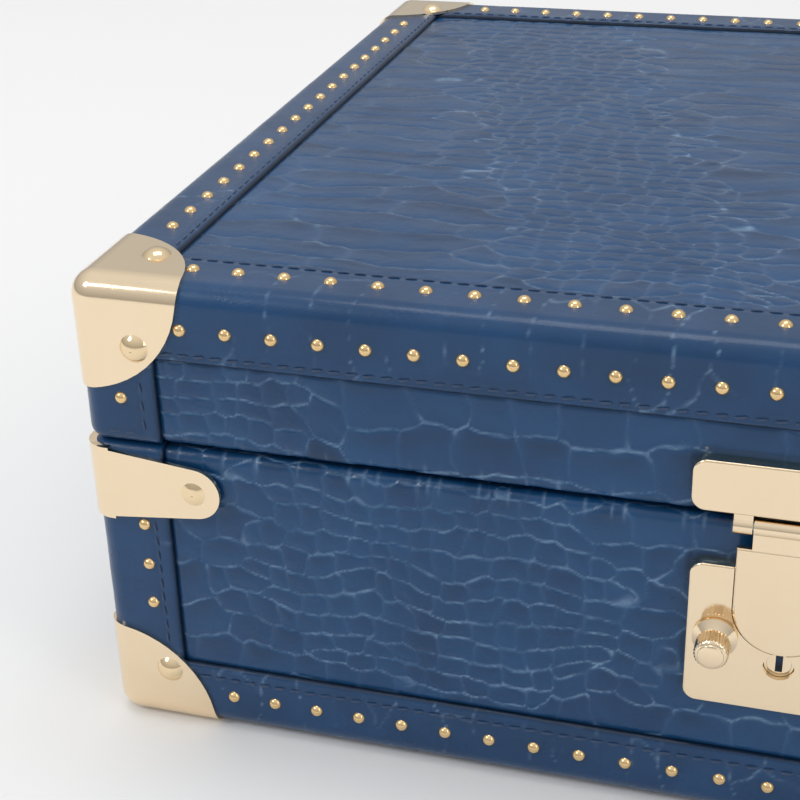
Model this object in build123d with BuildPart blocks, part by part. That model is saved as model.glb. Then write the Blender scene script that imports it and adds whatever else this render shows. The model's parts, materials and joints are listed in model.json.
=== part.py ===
"""Leather jewellery case: a leather-covered wooden box with a hinged lid, metal corners and a hasp lock.

X runs left to right, -Y is the front with the lock, and +Z is up. The origin lies under the middle
of the whole case, on the surface that the bottom corner caps stand on. Sizes are in millimetres.
"""

import math
import os

from build123d import *

os.makedirs("parts", exist_ok=True)

# ---------------------------------------------------------------- driving dimensions
case_width = 355.6
case_depth = 286.6
base_height = 85.6
lid_height = 44.7
lid_gap = 0.7
lid_open_angle = 100.0

cap_sheet = 0.9
binding_thick = 1.6
panel_thick = 1.2
wall_board = 8.0
flat_board = 6.0
edge_radius = 5.5
rim_radius = 3.0
rim_proud = 0.4
seam = 0.3
mitre_gap = 0.2

binding_width = 20.0
bottom_binding_height = 19.5
strip_width = 21.0

cap_radius = 29.5
cap_rivet_place = 17.0
cap_rivet_diameter = 7.5
cap_rivet_dome = 1.9
clamp_sheet = 1.2
clamp_reach = 29.3
clamp_height = 21.0
clamp_tip_radius = 7.2
clamp_drop = 0.8
clamp_rivet_diameter = 6.6

stud_diameter = 3.5
stud_dome = 1.3
stud_shank = 7.0
shank_radius = 0.5
row_inset_top = 12.0
row_inset_lid_front = 11.2
row_height_base = 10.5
row_pitch = 11.9
row_end_gap = 7.0
strip_stud_inset_lid = 11.5
strip_stud_inset_base = 14.0

plate_thick = 3.8
lid_plate_half = 23.0
lid_plate_height = 13.3
lid_plate_rise = 2.8
lock_plate_half = 22.3
lock_plate_top = 75.8
lock_plate_height = 39.5
plate_corner = 3.4
plate_edge = 0.6
plate_leg_radius = 1.25
plate_leg_length = 6.0

hasp_thick = 1.6
hasp_proud = 0.5
hasp_half = 11.8
hasp_top_below_axis = 5.4
hasp_height = 28.5
hasp_clear = 0.15
lock_knuckle_radius = 2.2
lock_knuckle_clear = 0.2
lock_barrel_half = 8.3
ear_width = 4.4
ear_gap = 0.3
lock_pin_radius = 1.0
running_clear = 0.05

case_box_depth = 7.6
case_box_half = 20.0
case_box_height = 33.0
case_sheet = 0.8

knob_x = -15.3
knob_z = 55.9
knob_length = 8.5
knob_radius = 4.15
collar_radius = 5.4
knob_gap = 0.15
stem_radius = 1.5
latch_travel = 1.4

key_barrel_radius = 3.55
key_barrel_z = 49.6
key_barrel_recess = 1.4
key_plug_radius = 2.9
key_slot_width = 1.7
key_slot_height = 4.6

hinge_place = 100.0
hinge_width = 38.0
hinge_leaf_height = 18.0
hinge_leaf_thick = 1.6
hinge_knuckle_radius = 3.0
hinge_knuckle_clear = 0.25
hinge_knuckle_count = 5
hinge_pin_radius = 1.3
stop_reach = 9.0
stop_thick = 1.5
stop_clear_angle = 0.6

lip_thick = 4.0
lip_step = 1.8
lip_rise = 6.5
lining_thick = 0.8
floor_pad_thick = 1.5
lid_pad_thick = 5.0
mirror_thick = 2.5
mirror_width = 226.0
mirror_depth = 156.0
mirror_frame_width = 14.0
mirror_frame_thick = 4.0

tray_clear = 0.9
tray_height = 34.0
tray_wall = 4.5
tray_floor_thick = 3.0
tray_below_rim = 3.0
divider_thick = 3.0
divider_drop = 4.0
rail_width = 5.0
ring_roll_radius = 6.0
ring_roll_gap = 0.5
ring_bay_width = 150.0
ring_bay_depth = 92.0
fit_gap = 0.1
cut_past = 1.0

hook_half = 3.0
hook_height = 4.8
hook_below_centre = 6.0
hook_clear = 0.3
hook_lip = 1.5
hook_lip_thick = 1.0
finger_gap = 1.5
finger_thick = 1.5
finger_trim = 0.4
tongue_gap = 0.3
tongue_reach = 1.2
slot_clear = 0.2
bolt_depth = 2.4
bolt_thick = 1.6
bolt_past_knob = 2.2
bolt_below_knob = 2.6
spring_depth = 4.4
spring_z = 48.9
spring_radius = 1.3
spring_wire = 0.25
spring_pitch = 1.5
spring_seat = 1.6
barrel_depth = 3.8
cam_depth = 4.3
cam_thick = 1.1
cam_half = 1.0
cam_reach = 5.2
key_slot_depth = 4.0

leaf_clear = 0.5
hinge_leaf_corner = 3.0
knuckle_seam = 0.15
stop_root = 2.0
stop_gap = 0.4
screw_spread = 12.5
screw_rises = (8.0, 15.0)
screw_drop = 2.0
screw_head_radius = 2.6
screw_core_radius = 1.1
screw_length = 8.0
screw_point = 0.8
screw_sink = 1.3
screw_slot = 0.6
screw_slot_depth = 0.5

strip_stud_rise_lid = 13.1
strip_stud_count = 3
strip_stud_top = 63.3
strip_stud_pitch = 12.2
side_row_shift = 1.4
base_row_shift = 1.5

frame_cover = 3.0
divider_end_gap = 0.3
tab_width = 20.0
tab_thick = 1.4
tab_rise = 7.0
tab_sink = 14.0
tab_from_divider = 18.0
tray_divider_drop = 2.0
roll_gap = 0.05
roll_end_gap = 0.6
bed_gap = 0.2
lid_pad_gap = 0.4
lid_pad_round = 2.0
mirror_frame_round = 1.5
lid_lining_rise = 1.5

case_box_drop = 2.0
clamp_past_round = 1.0
rivet_shank_radius = 1.2
rivet_length = 8.0
clamp_rivet_dome = 0.9
stud_clear = 0.3
leg_inset = 4.0
leg_rise = 2.6
hasp_cut_above = 5.0
hasp_cut_half = 20.0

# ---------------------------------------------------------------- places worked out from them
base_low = cap_sheet
base_top = base_low + base_height
lid_low = base_top + lid_gap
lid_top = lid_low + lid_height
hinge_z = base_top + lid_gap / 2

panel_face = binding_thick
board_face = binding_thick + panel_thick
wall_inside = board_face + wall_board
knob_reach = plate_thick - panel_face + knob_gap + knob_length
hinge_axis_out = hinge_knuckle_clear + hinge_knuckle_radius - panel_face
stop_angle = math.radians(lid_open_angle / 2 + stop_clear_angle)
hinge_reach = hinge_axis_out + stop_reach * math.cos(stop_angle)
case_shift = (knob_reach - hinge_reach) / 2

left_x = -case_width / 2
right_x = case_width / 2
front_y = case_shift - case_depth / 2
back_y = case_shift + case_depth / 2
floor_top = base_low + board_face + flat_board
lid_ceiling = lid_top - board_face - flat_board
base_board_top = base_top - rim_proud - panel_thick
lid_board_low = lid_low + rim_proud + panel_thick
inside_half_x = case_width / 2 - wall_inside
inside_half_y = case_depth / 2 - wall_inside

SIDES = ("front", "back", "left", "right")


def write(builder, name):
    """Labels a finished piece and writes it as one STEP file."""
    builder.part.label = name
    export_step(builder.part, f"parts/{name}.step")


# ---------------------------------------------------------------- shared construction solids
def rounded_block(inset, low, high, rim_at_top, rim):
    """The case's outline `inset` further in, rounded all over, with a smaller radius at the rim."""
    radius = edge_radius - inset
    with BuildPart() as block:
        with Locations((0, case_shift, (low + high) / 2)):
            Box(case_width - 2 * inset, case_depth - 2 * inset, high - low)
        by_height = block.faces().sort_by(Axis.Z)
        closed_face = by_height[0] if rim_at_top else by_height[-1]
        fillet(block.edges().filter_by(Axis.Z) + closed_face.edges(), radius)
        by_height = block.faces().sort_by(Axis.Z)
        rim_face = by_height[-1] if rim_at_top else by_height[0]
        fillet(rim_face.edges(), rim)
    return block.part


def centred_box(half_x, half_y, low, high):
    """A plain box about the middle of the case, between two heights."""
    with BuildPart() as box:
        with Locations((0, case_shift, (low + high) / 2)):
            Box(2 * half_x, 2 * half_y, high - low)
    return box.part


def side_wedge(side, gap=0.0, reach=60.0, spare=20.0):
    """The space nearer to one wall than to its neighbours, parted from them on 45 degree planes."""
    across = case_width if side in ("front", "back") else case_depth
    deep = case_depth if side in ("front", "back") else case_width
    outer = across / 2 + spare - gap
    edge = -deep / 2 - spare
    turn = {"front": 0, "right": 90, "back": 180, "left": 270}[side]
    with BuildPart() as wedge:
        with BuildSketch(Plane.XY.offset(-spare)):
            near = ((-outer, edge), (outer, edge))
            far = ((outer - reach, edge + reach), (reach - outer, edge + reach))
            Polygon(*near, *far, align=None)
        extrude(amount=lid_top + 2 * spare)
    return Location((0, case_shift, 0)) * Rotation(0, 0, turn) * wedge.part


def corner_signs():
    return [(sx, sy) for sx in (-1, 1) for sy in (-1, 1)]


def corner_boxes(size, low, high):
    """Four boxes that hold the case's vertical corners, `size` wide each way."""
    with BuildPart() as boxes:
        for sx, sy in corner_signs():
            with Locations((sx * (case_width / 2), case_shift + sy * (case_depth / 2), (low + high) / 2)):
                Box(2 * size, 2 * size, high - low)
    return boxes.part


wedges = {side: side_wedge(side) for side in SIDES}
parted_wedges = {side: side_wedge(side, mitre_gap) for side in SIDES}
rim_core = rim_radius - rim_proud
rim_board = rim_core - panel_thick

base_outline = rounded_block(0, base_low, base_top, True, rim_radius)
base_core = rounded_block(panel_face, base_low + panel_face, base_top - rim_proud, True, rim_core)
base_block = rounded_block(board_face, base_low + board_face, base_board_top, True, rim_board)
base_inside = centred_box(inside_half_x, inside_half_y, floor_top, base_top + 1)

lid_outline = rounded_block(0, lid_low, lid_top, False, rim_radius)
lid_core = rounded_block(panel_face, lid_low + rim_proud, lid_top - panel_face, False, rim_core)
lid_block = rounded_block(board_face, lid_board_low, lid_top - board_face, False, rim_board)
lid_inside = centred_box(inside_half_x, inside_half_y, lid_low - 1, lid_ceiling)

# ---------------------------------------------------------------- lock places
lock_axis_y = front_y + panel_face - lock_knuckle_clear - lock_knuckle_radius
plate_front_y = front_y + panel_face - plate_thick
croc_front_y = front_y + panel_face
hasp_front_y = plate_front_y - hasp_proud
hasp_back_y = hasp_front_y + hasp_thick
hasp_top = hinge_z - hasp_top_below_axis
hasp_bottom = hasp_top - hasp_height
hasp_round_z = hasp_bottom + hasp_half
lock_plate_low = lock_plate_top - lock_plate_height
case_box_top = lock_plate_top - case_box_drop
case_box_low = case_box_top - case_box_height


def front_plane(y):
    """A sketch plane facing the front: sketch x is to the right, sketch y is up."""
    return Plane(origin=(0, y, 0), x_dir=(1, 0, 0), z_dir=(0, -1, 0))


def upright_box(x_low, x_high, y_low, y_high, z_low, z_high, mode=Mode.ADD):
    """A box from its limits, for use inside a part."""
    with Locations(((x_low + x_high) / 2, (y_low + y_high) / 2, (z_low + z_high) / 2)):
        Box(x_high - x_low, y_high - y_low, z_high - z_low, mode=mode)


def lock_pocket(grow):
    """The space that the lock's inner case takes in the front leather and board."""
    with BuildPart() as pocket:
        upright_box(
            -case_box_half - grow, case_box_half + grow,
            croc_front_y - 1, croc_front_y + case_box_depth + grow,
            case_box_low - grow, case_box_top + grow,
        )
    return pocket.part


def plate_legs(places):
    """Round legs cast on the back of a lock plate, which hold it in the board."""
    with BuildPart() as legs:
        with BuildSketch(front_plane(croc_front_y + plate_leg_length)):
            with Locations(*places):
                Circle(plate_leg_radius)
        extrude(amount=plate_leg_length + 0.5)
    return legs.part


lid_plate_low = lid_low + lid_plate_rise
lid_leg_places = [(sx * (lid_plate_half - 5), lid_plate_low + lid_plate_height / 2) for sx in (-1, 1)]
lock_leg_places = [(sx * (lock_plate_half - leg_inset), lock_plate_low + leg_rise) for sx in (-1, 1)]


# ---------------------------------------------------------------- wooden boards
def wall_boards(block, low, high, prefix):
    """Front and back boards run the full width, and the end boards stand between them."""
    reach_x = case_width / 2
    reach_y = case_depth / 2 - board_face
    for side, sign in (("front", -1), ("back", 1)):
        with BuildPart() as board:
            add(block)
            near = case_shift + sign * (reach_y + 1)
            far = case_shift + sign * (reach_y - wall_board)
            with Locations((0, (near + far) / 2, (low + high) / 2)):
                Box(2 * reach_x, abs(near - far), high - low + 2, mode=Mode.INTERSECT)
            if prefix == "base" and side == "front":
                add(lock_pocket(fit_gap), mode=Mode.SUBTRACT)
                add(plate_legs(lock_leg_places), mode=Mode.SUBTRACT)
            if prefix == "lid" and side == "front":
                add(plate_legs(lid_leg_places), mode=Mode.SUBTRACT)
        write(board, f"{prefix}_{side}_board")
    with BuildPart() as ends:
        add(block)
        with Locations((0, case_shift, (low + high) / 2)):
            Box(case_width, 2 * inside_half_y, high - low + 2, mode=Mode.INTERSECT)
            Box(2 * inside_half_x, case_depth, high - low + 4, mode=Mode.SUBTRACT)
    write(ends, f"{prefix}_end_boards")


wall_boards(base_block, base_low + board_face, base_board_top, "base")
wall_boards(lid_block, lid_board_low, lid_top - board_face, "lid")

with BuildPart() as base_floor_board:
    add(centred_box(inside_half_x, inside_half_y, base_low + board_face, floor_top))
write(base_floor_board, "base_floor_board")

with BuildPart() as lid_top_board:
    add(centred_box(inside_half_x, inside_half_y, lid_ceiling, lid_top - board_face))
write(lid_top_board, "lid_top_board")


# ---------------------------------------------------------------- crocodile-grain leather panels
def wall_leathers(core, block, inside, cover, prefix):
    """One leather per wall, folded over the rim and under the closed face's edge, mitred at corners."""
    skin = core - block - inside - cover
    for side in ("front", "back"):
        with BuildPart() as leather:
            add(skin)
            add(wedges[side], mode=Mode.INTERSECT)
            if side == "front" and prefix == "base":
                add(lock_pocket(fit_gap), mode=Mode.SUBTRACT)
                add(plate_legs(lock_leg_places), mode=Mode.SUBTRACT)
            if side == "front" and prefix == "lid":
                add(plate_legs(lid_leg_places), mode=Mode.SUBTRACT)
        write(leather, f"{prefix}_{side}_leather")
    with BuildPart() as ends:
        add(skin)
        add(wedges["left"] + wedges["right"], mode=Mode.INTERSECT)
    write(ends, f"{prefix}_end_leathers")


cover_half_x = case_width / 2 - edge_radius - 1
cover_half_y = case_depth / 2 - edge_radius - 1
base_cover_zone = centred_box(cover_half_x, cover_half_y, base_low, base_low + board_face)
lid_cover_zone = centred_box(cover_half_x, cover_half_y, lid_top - board_face, lid_top)
wall_leathers(base_core, base_block, base_inside, base_cover_zone, "base")
wall_leathers(lid_core, lid_block, lid_inside, lid_cover_zone, "lid")

with BuildPart() as base_bottom_cover:
    add(centred_box(cover_half_x, cover_half_y, base_low + panel_face, base_low + board_face))
write(base_bottom_cover, "base_bottom_cover")

with BuildPart() as lid_top_leather:
    add(centred_box(cover_half_x, cover_half_y, lid_top - board_face, lid_top - panel_face))
write(lid_top_leather, "lid_top_leather")

# ---------------------------------------------------------------- stitched bindings and corner strips
base_binding_top = base_low + bottom_binding_height
lid_binding_low = lid_top - binding_width
base_skin = base_outline - base_core
lid_skin = lid_outline - lid_core

def binding_ring(skin, low, high):
    """The outer leather of a case half between two heights, open in the middle of its closed face."""
    band = skin & centred_box(case_width, case_depth, low, high)
    middle_x = case_width / 2 - binding_width
    middle_y = case_depth / 2 - binding_width
    return band - centred_box(middle_x, middle_y, low - cut_past, high + cut_past)


base_ring = binding_ring(base_skin, base_low - 1, base_binding_top)
with BuildPart() as base_bottom_binding:
    for side in SIDES:
        add(base_ring & parted_wedges[side])
write(base_bottom_binding, "base_bottom_binding")

lid_ring = binding_ring(lid_skin, lid_binding_low, lid_top + 1)
with BuildPart() as lid_binding:
    for side in SIDES:
        add(lid_ring & parted_wedges[side])
write(lid_binding, "lid_binding")

with BuildPart() as base_corner_strips:
    add(base_skin)
    add(corner_boxes(strip_width, base_binding_top + seam, base_top + 1), mode=Mode.INTERSECT)
    add(base_inside, mode=Mode.SUBTRACT)
write(base_corner_strips, "base_corner_strips")

with BuildPart() as lid_corner_strips:
    add(lid_skin)
    add(corner_boxes(strip_width, lid_low - 1, lid_binding_low - seam), mode=Mode.INTERSECT)
    add(lid_inside, mode=Mode.SUBTRACT)
write(lid_corner_strips, "lid_corner_strips")


# ---------------------------------------------------------------- corner caps and rim clamps
def corner_balls(radius, height):
    """Four balls about the corners at one height, which cut the round lobes of the caps."""
    with BuildPart() as balls:
        half_x = case_width / 2
        half_y = case_depth / 2
        corners = [(sx * half_x, case_shift + sy * half_y, height) for sx, sy in corner_signs()]
        with Locations(*corners):
            Sphere(radius)
    return balls.part


with BuildPart() as base_bottom_caps:
    add(rounded_block(-cap_sheet, base_low - cap_sheet, base_top, True, rim_radius))
    add(base_outline, mode=Mode.SUBTRACT)
    add(corner_balls(cap_radius, base_low), mode=Mode.INTERSECT)
write(base_bottom_caps, "base_bottom_caps")

with BuildPart() as lid_corner_caps:
    add(rounded_block(-cap_sheet, lid_low, lid_top + cap_sheet, False, rim_radius))
    add(lid_outline, mode=Mode.SUBTRACT)
    add(corner_balls(cap_radius, lid_top), mode=Mode.INTERSECT)
write(lid_corner_caps, "lid_corner_caps")

clamp_mid_z = base_top - clamp_drop - clamp_height / 2
clamp_wrap = edge_radius + clamp_past_round


def clamp_outline():
    """One arm's outline in the open sketch: high at the corner, tapering to a round end."""
    with Locations((-clamp_wrap / 2, clamp_mid_z)):
        Rectangle(clamp_wrap, clamp_height)
    with Locations((clamp_reach, clamp_mid_z)):
        Circle(clamp_tip_radius)
    make_hull()


with BuildPart() as clamp_arms:
    with BuildSketch(Plane(origin=(left_x, front_y + clamp_wrap, 0), x_dir=(1, 0, 0), z_dir=(0, -1, 0))):
        clamp_outline()
    extrude(amount=2 * clamp_wrap)
    with BuildSketch(Plane(origin=(left_x + clamp_wrap, front_y, 0), x_dir=(0, 1, 0), z_dir=(1, 0, 0))):
        clamp_outline()
    extrude(amount=-2 * clamp_wrap)

with BuildPart() as base_rim_clamps:
    with Locations((0, case_shift, (base_low + base_top) / 2)):
        Box(case_width + 2 * clamp_sheet, case_depth + 2 * clamp_sheet, base_height)
    fillet(base_rim_clamps.edges().filter_by(Axis.Z), edge_radius + clamp_sheet)
    add(base_outline, mode=Mode.SUBTRACT)
    add(clamp_arms.part, mode=Mode.INTERSECT)
    mirror(about=Plane.YZ)
    mirror(about=Plane.XZ.offset(-case_shift))
write(base_rim_clamps, "base_rim_clamps")


# ---------------------------------------------------------------- rivets and studs
def domed_nail(head_radius, dome, shank, shank_length):
    """A domed head whose flat back lies on z = 0, with a plain shank below it."""
    ball = (head_radius**2 + dome**2) / (2 * dome)
    halfway = head_radius / 2
    crown_z = dome - ball + math.sqrt(ball**2 - halfway**2)
    with BuildPart() as nail:
        with BuildSketch(Plane.XZ):
            with BuildLine():
                Line((0, -shank_length), (0, dome))
                ThreePointArc((0, dome), (halfway, crown_z), (head_radius, 0))
                Polyline((head_radius, 0), (shank, 0), (shank, -shank_length), (0, -shank_length))
            make_face()
        revolve(axis=Axis.Z)
    return nail.part


def face_location(side, along, z, out):
    """A place on a wall: `along` from its left end seen from outside, `out` beyond the outline."""
    half_x = case_width / 2 + out
    half_y = case_depth / 2 + out
    if side == "front":
        return Plane((left_x + along, case_shift - half_y, z), x_dir=(1, 0, 0), z_dir=(0, -1, 0)).location
    if side == "back":
        return Plane((right_x - along, case_shift + half_y, z), x_dir=(-1, 0, 0), z_dir=(0, 1, 0)).location
    if side == "left":
        return Plane((-half_x, back_y - along, z), x_dir=(0, -1, 0), z_dir=(-1, 0, 0)).location
    return Plane((half_x, front_y + along, z), x_dir=(0, 1, 0), z_dir=(1, 0, 0)).location


def wall_length(side):
    return case_width if side in ("front", "back") else case_depth


def both_ends(place, z, out):
    """The same place at both ends of every wall."""
    return [face_location(s, a, z, out) for s in SIDES for a in (place, wall_length(s) - place)]


def row(length, first):
    """Evenly spaced places along a row that starts and ends `first` from its ends."""
    count = round((length - 2 * first) / row_pitch)
    return [first + (length - 2 * first) * i / count for i in range(count + 1)]


stud = domed_nail(stud_diameter / 2, stud_dome, shank_radius, stud_shank)
cap_rivet = domed_nail(cap_rivet_diameter / 2, cap_rivet_dome, rivet_shank_radius, rivet_length)
clamp_rivet = domed_nail(clamp_rivet_diameter / 2, clamp_rivet_dome, rivet_shank_radius, rivet_length)


def row_first(inset):
    """Where a row starts, just clear of the corner cap's round edge."""
    return math.sqrt(cap_radius**2 - inset**2) + stud_diameter / 2 + stud_clear


lid_stud_z = lid_top - row_inset_lid_front
lid_stud_places = []
for side in SIDES:
    first = row_first(row_inset_lid_front) if side in ("front", "back") else row_end_gap + cap_radius
    lid_stud_places += [face_location(side, a, lid_stud_z, 0) for a in row(wall_length(side), first)]
for sign, first in ((-1, row_first(row_inset_top)), (1, row_end_gap + cap_radius)):
    y = case_shift + sign * (case_depth / 2 - row_inset_top)
    lid_stud_places += [Location((left_x + a, y, lid_top)) for a in row(case_width, first)]
for sign in (-1, 1):
    x = sign * (case_width / 2 - row_inset_top)
    first = row_end_gap + cap_radius + side_row_shift
    lid_stud_places += [Location((x, front_y + a, lid_top)) for a in row(case_depth, first)]
lid_stud_places += both_ends(strip_stud_inset_lid, lid_low + strip_stud_rise_lid, 0)

base_stud_places = []
for side in SIDES:
    first = cap_radius + row_end_gap - base_row_shift
    places = row(wall_length(side), first)
    base_stud_places += [face_location(side, a, base_low + row_height_base, 0) for a in places]
for step in range(strip_stud_count):
    base_stud_places += both_ends(strip_stud_inset_base, strip_stud_top - step * strip_stud_pitch, 0)

cap_rivet_low = base_low + cap_rivet_place
cap_rivet_high = lid_top - cap_rivet_place

with BuildPart() as lid_studs:
    with Locations(*lid_stud_places):
        add(stud)
write(lid_studs, "lid_studs")

with BuildPart() as base_studs:
    with Locations(*base_stud_places):
        add(stud)
write(base_studs, "base_studs")

with BuildPart() as base_cap_rivets:
    with Locations(*both_ends(cap_rivet_place, cap_rivet_low, cap_sheet)):
        add(cap_rivet)
write(base_cap_rivets, "base_cap_rivets")

top_rivet_places = [
    (
        sx * (case_width / 2 - cap_rivet_place),
        case_shift + sy * (case_depth / 2 - cap_rivet_place),
        lid_top + cap_sheet,
    )
    for sx, sy in corner_signs()
]
with BuildPart() as lid_cap_rivets:
    with Locations(*both_ends(cap_rivet_place, cap_rivet_high, cap_sheet)):
        add(cap_rivet)
    with Locations(*top_rivet_places):
        add(cap_rivet)
write(lid_cap_rivets, "lid_cap_rivets")

with BuildPart() as clamp_rivets:
    with Locations(*both_ends(clamp_reach, clamp_mid_z, clamp_sheet)):
        add(clamp_rivet)
write(clamp_rivets, "clamp_rivets")


# ---------------------------------------------------------------- hasp lock, lid side
def bar_along_x(x_low, x_high, y, z, radius):
    """A round bar along X."""
    with BuildPart() as bar:
        with BuildSketch(Plane(origin=(x_low, 0, 0), x_dir=(0, 1, 0), z_dir=(1, 0, 0))):
            with Locations((y, z)):
                Circle(radius)
        extrude(amount=x_high - x_low)
    return bar.part


def front_edges(builder):
    """The edges round the foremost face."""
    return builder.faces().sort_by(Axis.Y)[0].outer_wire().edges()


ear_far = lock_barrel_half + ear_gap + ear_width

with BuildPart() as lid_plate:
    with BuildSketch(front_plane(plate_front_y)):
        with Locations((0, lid_plate_low + lid_plate_height / 2)):
            RectangleRounded(2 * lid_plate_half, lid_plate_height, plate_corner)
    extrude(amount=-plate_thick)
    fillet(front_edges(lid_plate), plate_edge)
    add(plate_legs(lid_leg_places))
    for sign in (-1, 1):
        ear_x = sorted((sign * (lock_barrel_half + ear_gap), sign * ear_far))
        upright_box(*ear_x, lock_axis_y - 1.2, lock_axis_y + 1.8, hinge_z, lid_plate_low + 1)
        add(bar_along_x(*ear_x, lock_axis_y, hinge_z, lock_knuckle_radius))
    add(bar_along_x(-ear_far, ear_far, lock_axis_y, hinge_z, lock_pin_radius), mode=Mode.SUBTRACT)
write(lid_plate, "lid_plate")

with BuildPart() as hasp_pin:
    add(bar_along_x(-ear_far, ear_far, lock_axis_y, hinge_z, lock_pin_radius))
write(hasp_pin, "hasp_pin")


# ---------------------------------------------------------------- hasp
def hasp_outline(grow, top):
    """The hasp's outline on a front sketch plane: straight sides and a round lower end."""
    half = hasp_half + grow
    with BuildSketch(front_plane(hasp_back_y)) as outline:
        with Locations((0, hasp_round_z)):
            Circle(half)
        with Locations((0, (hasp_round_z + top) / 2)):
            Rectangle(2 * half, top - hasp_round_z)
    return outline.sketch


with BuildPart() as hasp_flap:
    add(extrude(hasp_outline(0, hasp_top), amount=hasp_thick, dir=(0, -1, 0), mode=Mode.PRIVATE))
    fillet(front_edges(hasp_flap), plate_edge)
    upright_box(
        -lock_barrel_half, lock_barrel_half, lock_axis_y - 1.7, lock_axis_y + 0.2, hasp_top - 0.6, hinge_z
    )
    add(bar_along_x(-lock_barrel_half, lock_barrel_half, lock_axis_y, hinge_z, lock_knuckle_radius))
    add(
        bar_along_x(-ear_far, ear_far, lock_axis_y, hinge_z, lock_pin_radius + running_clear),
        mode=Mode.SUBTRACT,
    )
write(hasp_flap, "hasp_flap")

hook_low = hasp_round_z - hook_below_centre
hook_high = hook_low + hook_height
hook_back_y = croc_front_y - hook_clear

with BuildPart() as hasp_hook:
    upright_box(-hook_half, hook_half, hasp_back_y, hook_back_y, hook_low, hook_high)
    upright_box(-hook_half - hook_lip, 0, hook_back_y - hook_lip_thick, hook_back_y, hook_low, hook_high)
write(hasp_hook, "hasp_hook")

# ---------------------------------------------------------------- lock, base side
slot_half = stem_radius + fit_gap

with BuildPart() as lock_plate:
    with BuildSketch(front_plane(plate_front_y)):
        with Locations((0, lock_plate_top - lock_plate_height / 2)):
            RectangleRounded(2 * lock_plate_half, lock_plate_height, plate_corner)
    extrude(amount=-plate_thick)
    fillet(front_edges(lock_plate), plate_edge)
    add(
        extrude(
            hasp_outline(hasp_clear, lock_plate_top + hasp_cut_above),
            amount=hasp_cut_half, dir=(0, -1, 0), both=True, mode=Mode.PRIVATE,
        ),
        mode=Mode.SUBTRACT,
    )
    with BuildSketch(front_plane(croc_front_y)):
        with Locations((0, key_barrel_z)):
            Circle(key_barrel_radius + fit_gap)
        with Locations((knob_x - latch_travel / 2, knob_z)):
            Rectangle(latch_travel, 2 * slot_half)
        with Locations((knob_x, knob_z), (knob_x - latch_travel, knob_z)):
            Circle(slot_half)
    extrude(amount=plate_thick, mode=Mode.SUBTRACT)
    add(plate_legs(lock_leg_places))
write(lock_plate, "lock_plate")

finger_low = hook_low + finger_trim
finger_high = hook_high - finger_trim
finger_x = -hook_half - hook_lip - finger_gap
tongue_y = (hasp_back_y + tongue_gap, hook_back_y - hook_lip_thick - tongue_gap)
bolt_y = (croc_front_y + bolt_depth, croc_front_y + bolt_depth + bolt_thick)
bolt_x = (knob_x - bolt_past_knob, finger_x)
bolt_z = (knob_z - bolt_below_knob, finger_high)
spring_x = (-case_box_half + case_sheet, finger_x - finger_thick)
spring_y = croc_front_y + spring_depth
barrel_back_y = croc_front_y + barrel_depth
cam_y = (croc_front_y + cam_depth, croc_front_y + cam_depth + cam_thick)

with BuildPart() as lock_case:
    back = croc_front_y + case_box_depth
    upright_box(-case_box_half, case_box_half, croc_front_y, back, case_box_low, case_box_top)
    upright_box(
        -case_box_half + case_sheet, case_box_half - case_sheet,
        croc_front_y + case_sheet, back - case_sheet,
        case_box_low + case_sheet, case_box_top - case_sheet,
        mode=Mode.SUBTRACT,
    )
    front_sheet = (croc_front_y - cut_past, croc_front_y + case_sheet + cut_past)
    upright_box(
        knob_x - latch_travel - slot_half, knob_x + slot_half, *front_sheet,
        knob_z - slot_half, knob_z + slot_half, mode=Mode.SUBTRACT,
    )
    upright_box(
        finger_x - finger_thick - latch_travel - slot_clear, finger_x + slot_clear, *front_sheet,
        finger_low - slot_clear, finger_high + slot_clear, mode=Mode.SUBTRACT,
    )
    with BuildSketch(front_plane(croc_front_y + case_sheet)):
        with Locations((0, key_barrel_z)):
            Circle(key_barrel_radius)
    extrude(amount=case_sheet, mode=Mode.SUBTRACT)
write(lock_case, "lock_case")

with BuildPart() as key_barrel:
    with BuildSketch(front_plane(barrel_back_y)):
        with Locations((0, key_barrel_z)):
            Circle(key_barrel_radius)
            Circle(key_plug_radius + running_clear, mode=Mode.SUBTRACT)
    extrude(amount=barrel_back_y - (plate_front_y + key_barrel_recess))
write(key_barrel, "key_barrel")

with BuildPart() as key_plug:
    plug_face_y = plate_front_y + key_barrel_recess + fit_gap
    with BuildSketch(front_plane(cam_y[1])):
        with Locations((0, key_barrel_z)):
            Circle(key_plug_radius)
    extrude(amount=cam_y[1] - plug_face_y)
    upright_box(
        -key_slot_width / 2, key_slot_width / 2, plug_face_y - cut_past, plug_face_y + key_slot_depth,
        key_barrel_z - key_slot_height / 2, key_barrel_z + key_slot_height / 2, mode=Mode.SUBTRACT,
    )
    upright_box(-cam_half, cam_half, *cam_y, key_barrel_z - cam_reach, key_barrel_z)
write(key_plug, "key_plug")

with BuildPart() as latch_bolt:
    upright_box(*bolt_x, *bolt_y, *bolt_z)
    upright_box(
        finger_x - finger_thick, finger_x, bolt_y[0], spring_y + spring_seat,
        spring_z - spring_seat, bolt_z[0],
    )
    upright_box(finger_x - finger_thick, finger_x, tongue_y[0], bolt_y[0], finger_low, finger_high)
    upright_box(finger_x, finger_x + tongue_reach, *tongue_y, finger_low, finger_high)
write(latch_bolt, "latch_bolt")

with BuildPart() as latch_spring:
    with BuildLine() as coil:
        Helix(
            pitch=spring_pitch,
            height=spring_x[1] - spring_x[0] - 4 * spring_wire,
            radius=spring_radius,
            center=(spring_x[0] + 2 * spring_wire, spring_y, spring_z),
            direction=(1, 0, 0),
        )
    with BuildSketch(Plane(origin=coil.line @ 0, z_dir=coil.line % 0)):
        Circle(spring_wire)
    sweep(is_frenet=True)
write(latch_spring, "latch_spring")

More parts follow.
